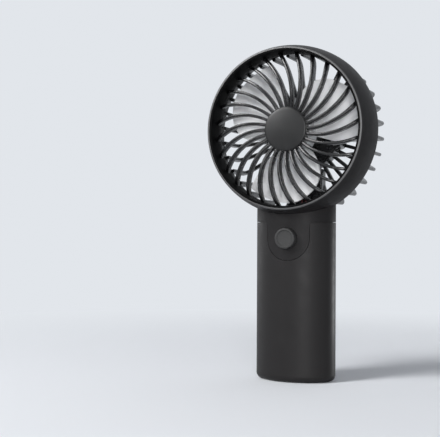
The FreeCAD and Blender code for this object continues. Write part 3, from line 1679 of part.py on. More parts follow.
# ---------------------------------------------------------------------------------------
# Leads
# ---------------------------------------------------------------------------------------
def lead(name, x, corners):
    """A wire in the plane of this x, through corners (y, z) that are rounded."""
    path = doc.addObject("Sketcher::SketchObject", f"{name}_path")
    path.Placement.Rotation = Rotation(Vector(0, 1, 0), Vector(0, 0, 1), Vector(1, 0, 0), "ZXY")
    bind(path, "Placement.Base.x", x)
    points = [Vector(number(y), number(z), 0) for y, z in corners]
    bend = S.lead_bend.value
    marks = []
    for (y, z), point in zip(corners, points):
        mark = path.addGeometry(Part.Point(point), True)
        locate(path, mark, START, y, z)
        marks.append(mark)
    trims = [0.0]
    for before, here, after in zip(points, points[1:], points[2:]):
        turn = (here - before).getAngle(after - here)
        trims.append(bend * math.tan(turn / 2))
    trims.append(0.0)
    lines = []
    for i, (here, there) in enumerate(zip(points, points[1:])):
        run = (there - here).normalize()
        first, last = here + run * trims[i], there - run * trims[i + 1]
        line = path.addGeometry(Part.LineSegment(first, last), False)
        for mark, trim, position in ((marks[i], trims[i], START), (marks[i + 1], trims[i + 1], END)):
            if trim:
                path.addConstraint(Sketcher.Constraint("PointOnObject", mark, START, line))
            else:
                path.addConstraint(Sketcher.Constraint("Coincident", mark, START, line, position))
        lines.append((line, first, last))
    for (line, _, first), (after, last, _), corner in zip(lines, lines[1:], points[1:]):
        left = (corner - first).cross(last - corner).z > 0
        arc = path.addGeometry(arc_between(first, last, bend if left else -bend), False)
        starts, ends = (START, END) if left else (END, START)
        path.addConstraint(Sketcher.Constraint("Tangent", line, END, arc, starts))
        path.addConstraint(Sketcher.Constraint("Tangent", arc, ends, after, START))
        dimension(path, "Radius", arc, size=S.lead_bend)
    rises = abs(points[1].y - points[0].y) > abs(points[1].x - points[0].x)
    y, z = corners[0]
    section = loose_sketch(f"{name}_section", "XY" if rises else "XZ", z if rises else y)
    if rises:
        circle(section, x, y, S.lead_radius)
    else:
        circle(section, x, z, S.lead_radius)
    doc.recompute()
    made = doc.addObject("Part::Sweep", name)
    made.Sections = [section]
    made.Spine = (path, [f"Edge{i}" for i in range(1, len(path.Shape.Edges) + 1)])
    made.Solid = True
    return made


def leads():
    """The motor's two leads up through the neck, and the cells' two leads to the board."""
    roof = SEAM_HEIGHT + S.lead_bend
    spine = SPINE_FRONT - S.front_overhang - S.lead_radius * 1.25
    entry = HEAD_HEIGHT - S.can_radius - S.holder_wall - S.lead_radius * 5
    terminal = HEAD_HEIGHT - S.can_radius * 0.7
    end_cap = END_CAP_BACK - S.front_overhang
    behind = end_cap + S.lead_bend + S.lead_radius / 2
    foot_top = HEAD_HEIGHT - REAR_RING + S.foot_height + S.lead_bend
    made = []
    for side, half in (("left", -0.5), ("right", 0.5)):
        made.append(
            lead(
                f"motor_lead_{side}",
                S.lead_spread * half,
                [
                    (BOARD_BACK, BUTTON_HEIGHT + S.lead_bend),
                    (BOARD_BACK + S.lead_bend * 2, BUTTON_HEIGHT + S.lead_bend),
                    (BOARD_BACK + S.lead_bend * 2, roof),
                    (LEAD_PLACE, roof),
                    (LEAD_PLACE, foot_top),
                    (spine, foot_top + S.lead_bend * 3),
                    (spine, entry),
                    (behind, entry),
                    (behind, terminal),
                    (end_cap, terminal),
                ],
            )
        )
    keep(group("motor_leads", made), "motor_leads")
    made = []
    for side, sign in (("left", -1), ("right", 1)):
        made.append(
            lead(
                f"battery_lead_{side}",
                CELL_OFFSET * sign,
                [
                    (0, CELL_TOP + S.tab_thickness),
                    (0, BUTTON_HEIGHT - S.switch_size),
                    (BOARD_BACK, BUTTON_HEIGHT - S.switch_size),
                ],
            )
        )
    return keep(group("battery_leads", made), "battery_leads")


front_guard()
front_cap()
head_housing()
rear_guard()
rear_cap()
impeller()
impeller_screw()
motor_shaft()
motor_armature()
motor_windings()
commutator()
motor_can()
motor_end_cap()
motor_magnets()
motor_brushes()
bushing("front_bushing", CAN_FRONT - S.can_wall)
bushing("rear_bushing", CAN_BACK)
motor_holder()
holder_screws()
handle_sleeve()
power_button()
switch_plunger()
tact_switch()
control_board()
pair_of_screws(
    "board_screws",
    (S.small_head_radius, S.small_head_height),
    (S.board_screw_radius, S.small_screw_length),
    S.board_screw_spread,
    BOARD_BACK,
    BOARD_SCREW_LEVEL,
    "Y",
    towards=-1,
)
inner_frame()
pair_of_screws(
    "frame_screws",
    (S.small_head_radius, S.small_head_height),
    (S.neck_screw_radius, S.neck_screw_length),
    S.neck_screw_spread,
    NECK_SCREW_SEAT,
    NECK_SCREW_LEVEL,
    "Y",
    towards=-1,
)
pair_of_screws(
    "base_screws",
    (S.screw_head_radius, S.base_screw_head),
    (S.base_screw_radius, S.base_screw_length),
    S.base_screw_spread,
    Length(0.0, "0.0"),
    S.foot_pad_depth + S.base_screw_head,
    "Z",
)
foot_pads()
battery_cell("battery_cell_left", -1)
battery_cell("battery_cell_right", 1)
cell_tabs()
charge_board()
pair_of_screws(
    "charge_screws",
    (S.small_head_radius, S.small_head_height),
    (S.board_screw_radius, S.board_thickness + S.frame_plate),
    S.charge_screw_spread,
    S.charge_screw_place,
    CHARGE_TOP,
    "Z",
    towards=-1,
)
usb_socket()
leads()
doc.recompute()

# ---------------------------------------------------------------------------------------
# Hand in
# ---------------------------------------------------------------------------------------
for item in doc.Objects:
    if "Invalid" in item.State or "Error" in item.State:
        raise ValueError(f"{item.Name}: {item.State} {item.getStatusString()}")
os.makedirs("parts", exist_ok=True)
for node in NODES:
    shape = node.Shape
    if shape.isNull() or not shape.isValid():
        raise ValueError(f"{node.Label} has no sound shape")
    shape.exportStep(f"parts/{node.Label}.step")
    print(f"{node.Label}: {len(shape.Solids)} solid(s), {shape.Volume:.0f} cubic millimetres")
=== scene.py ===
"""Looks of the handheld battery fan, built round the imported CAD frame.

Blender works in metres, +Z up, with the fan's front towards -Y. Pieces are drawn in
millimetres, and piece() scales them. A place on the head is given by a radius from the
head's axis, an angle seen from the front and a depth behind the drum's lip.
"""

import json
import math

import bmesh
import bpy
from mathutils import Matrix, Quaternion, Vector


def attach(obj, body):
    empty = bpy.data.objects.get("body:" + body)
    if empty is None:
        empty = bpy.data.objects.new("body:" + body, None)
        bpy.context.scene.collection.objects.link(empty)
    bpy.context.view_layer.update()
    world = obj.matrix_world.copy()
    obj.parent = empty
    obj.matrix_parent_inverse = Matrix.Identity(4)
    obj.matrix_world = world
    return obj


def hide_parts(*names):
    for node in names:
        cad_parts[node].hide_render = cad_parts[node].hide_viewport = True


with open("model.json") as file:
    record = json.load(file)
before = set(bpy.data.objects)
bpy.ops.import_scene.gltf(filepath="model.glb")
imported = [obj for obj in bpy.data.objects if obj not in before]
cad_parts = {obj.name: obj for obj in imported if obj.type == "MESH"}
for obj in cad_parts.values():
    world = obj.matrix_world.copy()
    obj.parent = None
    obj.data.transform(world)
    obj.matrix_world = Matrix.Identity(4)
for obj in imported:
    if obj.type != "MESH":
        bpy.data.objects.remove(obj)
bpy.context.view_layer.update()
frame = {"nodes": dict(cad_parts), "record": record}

MM = 0.001
TURN = 2 * math.pi
HEAD_HEIGHT = 157.4  # of the head's axis
LIP_PLACE = -27.0  # of the drum's front edge, along Y
NECK_TOP = 105.0  # where the round head meets its neck


# -----------------------------------------------------------------------------------------
# Materials
# -----------------------------------------------------------------------------------------
BLOTCH_SCALE, PATCH_SCALE = 38.0, 150.0  # of the noise in the colour and in the gloss
NOISE_LOW, NOISE_HIGH = 0.3, 0.7  # the part of a noise's range that is used
DUST_COLOUR, DUST_START = (0.42, 0.43, 0.45, 1), 0.2  # START: how far up a face has to look
GRAIN_DEPTH = 0.0002
GLOW_RADIUS, GLOW_SCALE = (1.0, 1.0, 1.0), 0.002  # how far light spreads in the blades

DRUM_MATTE, DRUM_SATIN, LIP_GLOSS = 0.06, 0.09, 1.0
LIP_BAND, NECK_BAND = (0.2, 0.6), (-2.0, 3.0)  # where gloss changes, from LIP_PLACE, NECK_TOP

# The finish of each material slot in the record
FINISHES = {
    "shell_black": dict(
        colour=(0.015, 0.0141, 0.0144), roughness=0.44, mottle=0.05, smudge=0.05,
        specular=0.14, dust=0.003,
    ),
    "guard_black": dict(
        colour=(0.003, 0.003, 0.0034), roughness=0.28, grain=3200.0, relief=0.08, mottle=0.05,
        specular=0.45, dust=0.003,
    ),
    "cap_grey": dict(
        colour=(0.009, 0.009, 0.0092), roughness=0.33, grain=3600.0, relief=0.05, mottle=0.03,
        smudge=0.04, specular=0.30,
    ),
    "button_grey": dict(
        colour=(0.030, 0.030, 0.030), roughness=0.50, grain=2400.0, relief=0.18, mottle=0.05,
        specular=0.25,
    ),
    "blade_grey": dict(
        colour=(0.86, 0.865, 0.88), roughness=0.48, grain=1800.0, relief=0.05, mottle=0.03,
        specular=0.3, depth=0.6,
    ),
    "frame_grey": dict(colour=(0.30, 0.30, 0.30), roughness=0.5),
    "motor_steel": dict(
        colour=(0.56, 0.56, 0.55), roughness=0.30, grain=900.0, metallic=1.0,
        stretch=(1, 0.06, 1),
    ),
    "shaft_steel": dict(
        colour=(0.62, 0.62, 0.62), roughness=0.22, grain=1500.0, metallic=1.0, stretch=(1, 8, 1)
    ),
    "core_iron": dict(
        colour=(0.20, 0.20, 0.20), roughness=0.45, grain=2500.0, metallic=1.0,
        stretch=(0.1, 3, 0.1),
    ),
    "magnet": dict(colour=(0.09, 0.09, 0.095), roughness=0.6, relief=0.3),
    "copper": dict(
        colour=(0.72, 0.38, 0.22), roughness=0.32, grain=1600.0, metallic=1.0, stretch=(1, 6, 1)
    ),
    "commutator_copper": dict(
        colour=(0.70, 0.40, 0.24), roughness=0.28, grain=1400.0, metallic=1.0
    ),
    "brush_carbon": dict(colour=(0.04, 0.04, 0.04), roughness=0.6, relief=0.3),
    "bronze": dict(
        colour=(0.52, 0.40, 0.22), roughness=0.45, grain=3000.0, relief=0.3, metallic=1.0
    ),
    "end_cap_black": dict(colour=(0.04, 0.04, 0.042), roughness=0.5),
    "screw_steel": dict(colour=(0.45, 0.45, 0.45), roughness=0.33, grain=1600.0, metallic=1.0),
    "board_green": dict(colour=(0.03, 0.18, 0.09), roughness=0.35, grain=1200.0, mottle=0.2),
    "switch_black": dict(colour=(0.035, 0.035, 0.035), roughness=0.45),
    "socket_steel": dict(
        colour=(0.62, 0.62, 0.61), roughness=0.28, grain=1800.0, metallic=1.0,
        stretch=(1, 0.1, 1),
    ),
    "cell_wrap": dict(colour=(0.06, 0.22, 0.42), roughness=0.25, grain=400.0, relief=0.04),
    "tab_nickel": dict(colour=(0.60, 0.59, 0.56), roughness=0.3, metallic=1.0),
    "lead_rubber": dict(colour=(0.12, 0.03, 0.03), roughness=0.4, relief=0.04),
    "pad_rubber": dict(colour=(0.02, 0.02, 0.02), roughness=0.8, relief=0.35),
}
# Two parts of a slot that look more matte than the rest of it
DRUM_FINISH = dict(
    colour=(0.016, 0.0152, 0.0157), roughness=0.46, mottle=0.05, smudge=0.05,
    specular=DRUM_MATTE, dust=0.002,
)
WALL_FINISH = dict(
    colour=(0.003, 0.003, 0.0032), roughness=0.60, grain=3200.0, mottle=0.05, smudge=0.05,
    specular=0.04,
)


def node_of(tree, kind, x, y, sockets=None, **settings):
    """A shader node at this place in its tree, with its settings and its sockets' values."""
    made = tree.nodes.new(kind)
    made.location = (x, y)
    for key, value in settings.items():
        setattr(made, key, value)
    for key, value in (sockets or {}).items():
        made.inputs[key].default_value = value
    return made


def noise(tree, coordinates, x, y, scale, detail, roughness):
    made = node_of(
        tree, "ShaderNodeTexNoise", x, y,
        {"Scale": scale, "Detail": detail, "Roughness": roughness},
    )
    tree.links.new(coordinates, made.inputs["Vector"])
    return made.outputs["Fac"]


def ramp(tree, source, x, y, start, end, low=0.0, high=1.0, **settings):
    """Map start..end of a value onto low..high, and hold it beyond them."""
    made = node_of(
        tree, "ShaderNodeMapRange", x, y,
        {"From Min": start, "From Max": end, "To Min": low, "To Max": high},
        clamp=True, **settings,
    )
    tree.links.new(source, made.inputs["Value"])
    return made.outputs["Result"]


def surface(name, colour, roughness, grain=2600.0, relief=0.12, mottle=0.10, smudge=0.08,
            metallic=0.0, specular=0.5, stretch=None, dust=0.0, depth=0.0):
    """A moulded or metal surface: blotchy colour, uneven gloss, fine grain, a little dust."""
    made = bpy.data.materials.new(name)
    made.use_nodes = True
    tree = made.node_tree
    shader = tree.nodes["Principled BSDF"]
    coordinates = node_of(tree, "ShaderNodeTexCoord", -1300, 0).outputs["Object"]
    if stretch is not None:
        mapping = node_of(tree, "ShaderNodeMapping", -1120, 0, {"Scale": stretch})
        tree.links.new(coordinates, mapping.inputs["Vector"])
        coordinates = mapping.outputs["Vector"]

    blotch = noise(tree, coordinates, -900, 260, BLOTCH_SCALE, 4.0, 0.6)
    mix = node_of(tree, "ShaderNodeMix", -420, 260, data_type="RGBA")
    mix.inputs["A"].default_value = [part * (1 - mottle) for part in colour] + [1]
    mix.inputs["B"].default_value = [min(part * (1 + mottle), 1) for part in colour] + [1]
    tree.links.new(ramp(tree, blotch, -660, 260, NOISE_LOW, NOISE_HIGH), mix.inputs["Factor"])
    colour_out = mix.outputs["Result"]
    if dust:
        normal = node_of(tree, "ShaderNodeNewGeometry", -900, 560)
        split = node_of(tree, "ShaderNodeSeparateXYZ", -720, 560)
        tree.links.new(normal.outputs["Normal"], split.inputs["Vector"])
        up = ramp(tree, split.outputs["Z"], -540, 560, DUST_START, 1.0, 0.0, dust)
        dusty = node_of(tree, "ShaderNodeMix", -220, 380, data_type="RGBA")
        dusty.inputs["B"].default_value = DUST_COLOUR
        tree.links.new(up, dusty.inputs["Factor"])
        tree.links.new(colour_out, dusty.inputs["A"])
        colour_out = dusty.outputs["Result"]
    tree.links.new(colour_out, shader.inputs["Base Color"])

    patch = noise(tree, coordinates, -900, 0, PATCH_SCALE, 3.0, 0.55)
    gloss = ramp(
        tree, patch, -660, 0, NOISE_LOW, NOISE_HIGH, roughness - smudge, roughness + smudge
    )
    tree.links.new(gloss, shader.inputs["Roughness"])
    fine = noise(tree, coordinates, -900, -260, grain, 2.0, 0.7)
    bump = node_of(
        tree, "ShaderNodeBump", -420, -260, {"Strength": relief, "Distance": GRAIN_DEPTH}
    )
    tree.links.new(fine, bump.inputs["Height"])
    tree.links.new(bump.outputs["Normal"], shader.inputs["Normal"])
    shader.inputs["Metallic"].default_value = metallic
    shader.inputs["Specular IOR Level"].default_value = specular
    if depth:
        shader.inputs["Subsurface Weight"].default_value = depth
        shader.inputs["Subsurface Radius"].default_value = GLOW_RADIUS
        shader.inputs["Subsurface Scale"].default_value = GLOW_SCALE
    return made


def shade_drum(drum):
    """Matte round the head, satin like the handle below it, and smooth on the lip."""
    tree = drum.node_tree
    place = node_of(tree, "ShaderNodeTexCoord", -1300, -600)
    split = node_of(tree, "ShaderNodeSeparateXYZ", -1120, -600)
    tree.links.new(place.outputs["Object"], split.inputs["Vector"])
    gloss = node_of(tree, "ShaderNodeMath", -660, -600, operation="MAXIMUM")
    level = tree.nodes["Principled BSDF"].inputs["Specular IOR Level"]
    tree.links.new(gloss.outputs["Value"], level)
    bands = [("Y", LIP_PLACE, LIP_BAND, LIP_GLOSS), ("Z", NECK_TOP, NECK_BAND, DRUM_SATIN)]
    for i, (axis, at, (start, end), shine) in enumerate(bands):
        band = ramp(
            tree, split.outputs[axis], -900, -600 - 260 * i, (at + start) * MM, (at + end) * MM,
            shine, DRUM_MATTE,
        )
        tree.links.new(band, gloss.inputs[i])


BY_SLOT = {name: surface(name, **finish) for name, finish in FINISHES.items()}
DRUM = surface("drum_black", **DRUM_FINISH)
WALL = surface("guard_matte", **WALL_FINISH)
shade_drum(DRUM)

for entry in frame["record"]["subparts"]:
    slots = frame["nodes"][entry["node"]].data.materials
    slots.clear()
    slots.append(DRUM if entry["node"] == "head_housing" else BY_SLOT[entry["material_slot"]])


# -----------------------------------------------------------------------------------------
# Mesh helpers
# -----------------------------------------------------------------------------------------
WELD = 0.000001
BEVEL_SEGMENTS, BEVEL_ANGLE = 3, 50
MOST_TRIM = 0.49  # of an outline's side, by the rounding at one of its ends


def quarter(steps):
    """The turns, in radians, that divide a quarter circle into this many steps."""
    return [math.pi / 2 * step / steps for step in range(steps + 1)]


def head_point(radius, angle, depth, height=HEAD_HEIGHT):
    """A point round an axis along Y, with the angle in degrees."""
    turn = math.radians(angle)
    return (radius * math.cos(turn), LIP_PLACE + depth, height + radius * math.sin(turn))


def swung(x, y, angle, depth):
    """A point at x along and y beside a radius of the head that lies at this angle."""
    return head_point(math.hypot(x, y), angle + math.degrees(math.atan2(y, x)), depth)


def piece(name, points, faces, slot, body="casing", replaces=(), sharp=35.0, bevel=0.0,
          look=None):
    """A finished object from points in millimetres, riding on its body."""
    mesh = bpy.data.meshes.new(name)
    mesh.from_pydata([[part * MM for part in point] for point in points], [], faces)
    work = bmesh.new()
    work.from_mesh(mesh)
    bmesh.ops.remove_doubles(work, verts=work.verts, dist=WELD)
    bmesh.ops.recalc_face_normals(work, faces=work.faces)
    work.to_mesh(mesh)
    work.free()
    thing = bpy.data.objects.new(name, mesh)
    bpy.context.scene.collection.objects.link(thing)
    if bevel:
        rounder = thing.modifiers.new("edges", "BEVEL")
        rounder.width = bevel * MM
        rounder.segments = BEVEL_SEGMENTS
        rounder.limit_method = "ANGLE"
        rounder.angle_limit = math.radians(BEVEL_ANGLE)
        rounder.harden_normals = True
        bpy.context.view_layer.objects.active = thing
        thing.select_set(True)
        bpy.ops.object.modifier_apply(modifier="edges")
        thing.select_set(False)
        mesh = thing.data
    for face in mesh.polygons:
        face.use_smooth = True
    mesh.set_sharp_from_angle(angle=math.radians(sharp))
    mesh.materials.append(look or BY_SLOT[slot])
    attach(thing, body)
    for node in replaces:
        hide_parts(node)
    return thing


def rounded(corners, steps=5):
    """A closed outline through (x, y, radius) corners, each rounded."""
    made = []
    count = len(corners)
    for i, (x, y, radius) in enumerate(corners):
        if radius <= 0:
            made.append((x, y))
            continue
        here = Vector((x, y))
        back = Vector(corners[i - 1][:2]) - here
        ahead = Vector(corners[(i + 1) % count][:2]) - here
        half = back.angle(ahead) / 2
        trim = min(radius / math.tan(half), back.length * MOST_TRIM, ahead.length * MOST_TRIM)
        radius = trim * math.tan(half)
        inward = (back.normalized() + ahead.normalized()).normalized()
        centre = here + inward * (radius / math.sin(half))
        first = here + back.normalized() * trim - centre
        last = here + ahead.normalized() * trim - centre
        sweep = first.angle_signed(last)
        for step in range(steps + 1):
            turn = -sweep * step / steps
            cos, sin = math.cos(turn), math.sin(turn)
            made.append((
                centre.x + first.x * cos - first.y * sin,
                centre.y + first.x * sin + first.y * cos,
            ))
    return made


def turned(name, corners, slot, segments=180, height=HEAD_HEIGHT, **rest):
    """A ring or disc about the axis at this height, from (radius, depth, rounding) corners."""
    outline = rounded(corners)
    count = len(outline)
    points, faces = [], []
    for step in range(segments):
        for radius, depth in outline:
            points.append(head_point(radius, 360 * step / segments, depth, height))
    for step in range(segments):
        after = (step + 1) % segments
        for i in range(count):
            j = (i + 1) % count
            if outline[i][0] > 0 or outline[j][0] > 0:
                faces.append([
                    step * count + i, step * count + j, after * count + j, after * count + i
                ])
    return piece(name, points, faces, slot, **rest)


def skin(rings, first):
    """Faces between successive rings of points, closed at both ends."""
    count = len(rings[0])
    faces = []
    for step in range(len(rings) - 1):
        for i in range(count):
            j = (i + 1) % count
            here, there = first + step * count, first + (step + 1) * count
            faces.append([here + i, here + j, there + j, there + i])
    faces.append([first + i for i in range(count)])
    faces.append([first + (len(rings) - 1) * count + i for i in range(count)])
    return faces


def swept(name, runs, slot, **rest):
    """A piece of one or more closed bars, each from a run of rings."""
    points, faces = [], []
    for rings in runs:
        faces += skin(rings, len(points))
        points += [point for ring in rings for point in ring]
    return piece(name, points, faces, slot, **rest)


def arc_depth(start, end, bend, at):
    """Depth at this radius, on the arc through two (radius, depth) points, bulging forward."""
    chord = Vector(end) - Vector(start)
    middle = (Vector(start) + Vector(end)) / 2
    rise = math.sqrt(bend**2 - (chord.length / 2) ** 2)
    centre = middle + Vector((-chord.y, chord.x)).normalized() * rise
    return centre.y - math.sqrt(bend**2 - (at - centre.x) ** 2)


# -----------------------------------------------------------------------------------------
# Front guard
# -----------------------------------------------------------------------------------------
BORE = 2.1
HUB_RADIUS, HUB_FRONT, HUB_BACK = 14.0, 6.3, 10.6
SHOULDER = (41.0, 5.4)
RIB_END, RIB_END_FRONT, RIB_END_BACK = 48.4, 9.0, 12.6
DOME_BEND, SHOULDER_BEND, BACK_BEND = 49.0, 12.0, 60.0
RIB_COUNT, RIB_BEND, RIB_WIDTH, RIB_STEPS = 28, 39.6, 1.8, 30
RIB_ROOT = HUB_RADIUS - RIB_WIDTH / 4
RIB_FRONT_EDGE, RIB_BACK_EDGE = 0.55, 0.45
TRIAL_TURNS = [step / 100 for step in range(1, 9000)]
RING_INSIDE, RING_OUTSIDE, RING_FRONT, RING_BACK = 47.8, 49.0, 0.3, 13.0
CAP_RADIUS, CAP_CREST, CAP_DOME, CAP_EDGE = 13.5, 4.5, 0.7, 5.3
CAP_STATIONS = (0, 3, 6, 9, 11.5, 12.6)
PIN_RADIUS, PIN_END = 2.0, 9.3


def rib_front(radius):
    if radius < HUB_RADIUS:
        return HUB_FRONT
    if radius < SHOULDER[0]:
        return arc_depth((HUB_RADIUS, HUB_FRONT), SHOULDER, DOME_BEND, radius)
    return arc_depth(SHOULDER, (RIB_END, RIB_END_FRONT), SHOULDER_BEND, min(radius, RIB_END))


def rib_back(radius):
    if radius < HUB_RADIUS:
        return HUB_BACK
    end = (RIB_END, RIB_END_BACK)
    return arc_depth((HUB_RADIUS, HUB_BACK), end, BACK_BEND, min(radius, RIB_END))


def rib_line(turn):
    """Where a rib's middle line is after turning this far, in radians, along its arc."""
    return RIB_ROOT + RIB_BEND * math.sin(turn), RIB_BEND * (1 - math.cos(turn))


def front_ribs():
    full = next(
        angle for angle in TRIAL_TURNS if math.hypot(*rib_line(math.radians(angle))) > RIB_END
    )
    half = RIB_WIDTH / 2
    runs = []
    for rib in range(RIB_COUNT):
        start = 360 * rib / RIB_COUNT
        rings = []
        for step in range(RIB_STEPS + 1):
            turn = math.radians(full * step / RIB_STEPS)
            x, y = rib_line(turn)
            radius = math.hypot(x, y)
            front, back = rib_front(radius), rib_back(radius)
            section = rounded(
                [
                    (-half, front, RIB_FRONT_EDGE), (half, front, RIB_FRONT_EDGE),
                    (half, back, RIB_BACK_EDGE), (-half, back, RIB_BACK_EDGE),
                ],
                4,
            )
            rings.append([
                swung(x - math.sin(turn) * across, y + math.cos(turn) * across, start, depth)
                for across, depth in section
            ])
        runs.append(rings)
    swept("front_guard_ribs", runs, "guard_black", replaces=["front_guard"], sharp=50.0)


front_ribs()
turned(
    "front_guard_hub",
    [
        (BORE, HUB_FRONT, 0), (HUB_RADIUS, HUB_FRONT, 0.5), (HUB_RADIUS, HUB_BACK, 0.5),
        (BORE, HUB_BACK, 0),
    ],
    "guard_black", replaces=["front_guard"],
)
turned(
    "front_guard_ring",
    [
        (RING_INSIDE, RING_FRONT, 0.35), (RING_OUTSIDE, RING_FRONT, 0.35),
        (RING_OUTSIDE, RING_BACK, 0.2), (RING_INSIDE, RING_BACK, 0.2),
    ],
    "guard_black", segments=240, replaces=["front_guard"], look=WALL,
)
turned(
    "front_cap_disc",
    [(radius, CAP_CREST + CAP_DOME * (radius / CAP_RADIUS) ** 2, 0) for radius in CAP_STATIONS]
    + [
        (CAP_RADIUS, CAP_EDGE, 0.5), (CAP_RADIUS, HUB_FRONT, 0.15), (PIN_RADIUS, HUB_FRONT, 0),
        (PIN_RADIUS, PIN_END, 0.3), (0, PIN_END, 0),
    ],
    "cap_grey", replaces=["front_cap"],
)


# -----------------------------------------------------------------------------------------
# Rear guard
# -----------------------------------------------------------------------------------------
REAR_COUNT, REAR_PHASE, REAR_THICKNESS = 32, 6.4, 2.2
RING, REAR_WIDTH, REAR_BEND, REAR_DEPTH = 52.3, 3.8, 8.0, 53.0
REAR_INNER_EDGE, REAR_OUTER_EDGE = 0.5, 0.9
REAR_STATIONS = (33.0, 22.5)  # radii that a rib passes behind the impeller
SEAT, SEAT_RUN = 25.25, 6.0
BEND_STEPS = 12
REAR_BAND_INSIDE, REAR_BAND_STEP, REAR_BAND_FRONT, REAR_BAND_BACK = 50.4, 51.4, 21.25, 27.45
CUP_RADIUS, CUP_INSIDE, CUP_FRONT, CUP_FLOOR = 23.5, 21.5, 41.5, 50.5
CAP_POCKET, REAR_CAP_RADIUS, CAP_SEAT, CAP_BACK = 15.1, 15.0, 52.2, 53.8
SPINE_HALF, SPINE_FRONT, SPINE_INSET, FOOT_TOP = 11.5, 43.0, 0.4, 47.7
SPINE_LAP = 1.0  # by which the spine reaches into the cup's wall
POST_CIRCLE, POST_RADIUS, POST_EDGE, POST_PHASE, POST_SEGMENTS = 22.5, 3.95, 0.5, -15, 48


def rear_ribs():
    middle = REAR_WIDTH / 2
    bend = REAR_BEND - middle
    path = [(RING - middle, SEAT, 1.0, 0.0), (RING - middle, SEAT + SEAT_RUN, 1.0, 0.0)]
    for turn in quarter(BEND_STEPS):
        out, back = math.cos(turn), math.sin(turn)
        path.append((
            RING - REAR_BEND + bend * out, REAR_DEPTH - REAR_BEND + bend * back, out, back
        ))
    path += [(radius, REAR_DEPTH - middle, 0.0, 1.0) for radius in REAR_STATIONS]
    half = REAR_THICKNESS / 2
    section = rounded(
        [
            (-half, -middle, REAR_INNER_EDGE), (half, -middle, REAR_INNER_EDGE),
            (half, middle, REAR_OUTER_EDGE), (-half, middle, REAR_OUTER_EDGE),
        ],
        4,
    )
    runs = []
    for rib in range(REAR_COUNT):
        start = REAR_PHASE + 360 * rib / REAR_COUNT
        runs.append([
            [
                swung(radius + out * proud, across, start, depth + back * proud)
                for across, proud in section
            ]
            for radius, depth, out, back in path
        ])
    swept("rear_guard_ribs", runs, "guard_black", replaces=["rear_guard"], sharp=50.0)


def rear_spine():
    """The solid strip below the cup and the foot it ends in, both bent like the ribs."""
    outside, back = RING - SPINE_INSET, REAR_DEPTH - SPINE_INSET
    centre = REAR_DEPTH - REAR_BEND - SPINE_INSET
    inner = CUP_RADIUS - SPINE_LAP
    flat = [(FOOT_TOP, SEAT), (FOOT_TOP, SPINE_FRONT), (inner, SPINE_FRONT), (inner, back)]
    curved = [
        (outside - REAR_BEND * (1 - math.sin(turn)), centre + REAR_BEND * math.cos(turn))
        for turn in quarter(BEND_STEPS)
    ]
    curved.append((outside, SEAT))
    rings = []
    for step in range(25):
        x = SPINE_HALF * (step / 12 - 1)
        profile = flat + [(math.sqrt(radius**2 - x**2), depth) for radius, depth in curved]
        rings.append([(x, LIP_PLACE + depth, HEAD_HEIGHT - drop) for drop, depth in profile])
    swept(
        "rear_guard_spine", [rings], "guard_black", replaces=["rear_guard"], sharp=40.0,
        bevel=0.35,
    )


def rear_post(name, angle):
    """A round screw post on the cup, its far end rounded."""
    x, y, z = head_point(POST_CIRCLE, angle, 0)
    profile = [(POST_RADIUS, CUP_FRONT)]
    for turn in quarter(4):
        profile.append((
            POST_RADIUS - POST_EDGE * (1 - math.cos(turn)),
            REAR_DEPTH - POST_EDGE * (1 - math.sin(turn)),
        ))
    turns = [TURN * step / POST_SEGMENTS for step in range(POST_SEGMENTS)]
    rings = [
        [(x + reach * math.cos(turn), y + depth, z + reach * math.sin(turn)) for turn in turns]
        for reach, depth in profile
    ]
    swept(name, [rings], "guard_black", sharp=60.0, replaces=["rear_guard"])


rear_ribs()
rear_spine()
for step in range(3):
    rear_post(f"rear_guard_post_{step + 1}", 120 * step + POST_PHASE)
turned(
    "rear_guard_ring",
    [
        (REAR_BAND_INSIDE, REAR_BAND_FRONT, 0.3), (REAR_BAND_STEP, REAR_BAND_FRONT, 0.3),
        (REAR_BAND_STEP, SEAT, 0), (RING, SEAT, 0.25), (RING, REAR_BAND_BACK, 0.6),
        (REAR_BAND_INSIDE, REAR_BAND_BACK, 0.6),
    ],
    "guard_black", segments=240, replaces=["rear_guard"],
)
turned(
    "rear_guard_cup",
    [
        (BORE, CUP_FLOOR, 0), (CUP_INSIDE, CUP_FLOOR, 0.8), (CUP_INSIDE, CUP_FRONT, 0.2),
        (CUP_RADIUS, CUP_FRONT, 0.3), (CUP_RADIUS, REAR_DEPTH, 1.2),
        (CAP_POCKET, REAR_DEPTH, 0.3), (CAP_POCKET, CAP_SEAT, 0), (BORE, CAP_SEAT, 0),
    ],
    "guard_black", replaces=["rear_guard"],
)
turned(
    "rear_cap_disc",
    [
        (0, CUP_FLOOR, 0), (PIN_RADIUS, CUP_FLOOR, 0.2), (PIN_RADIUS, CAP_SEAT, 0),
        (REAR_CAP_RADIUS, CAP_SEAT, 0.1), (REAR_CAP_RADIUS, CAP_BACK, 0.8), (0, CAP_BACK, 0),
    ],
    "guard_black", replaces=["rear_cap"],
)


# -----------------------------------------------------------------------------------------
# Impeller
# -----------------------------------------------------------------------------------------
BLADE_ROOT, BLADE_TIP, BLADE_START = 13.7, 45.7, -13.0
BLADE_ACROSS, BLADE_ALONG = 36, 30
# Degrees of the edges past BLADE_START, by the share of the way from root to tip
LEADING = [(0.0, 0.0), (0.2, -1.5), (0.45, -1.3), (0.7, 0.8), (0.85, 2.0), (1.0, 3.5)]
TRAILING = [
    (0.0, 91.0), (0.18, 89.5), (0.34, 86.5), (0.49, 82.5), (0.62, 77.5), (0.72, 72.0),
    (0.83, 63.5), (0.915, 54.0), (0.97, 47.0), (1.0, 39.0),
]
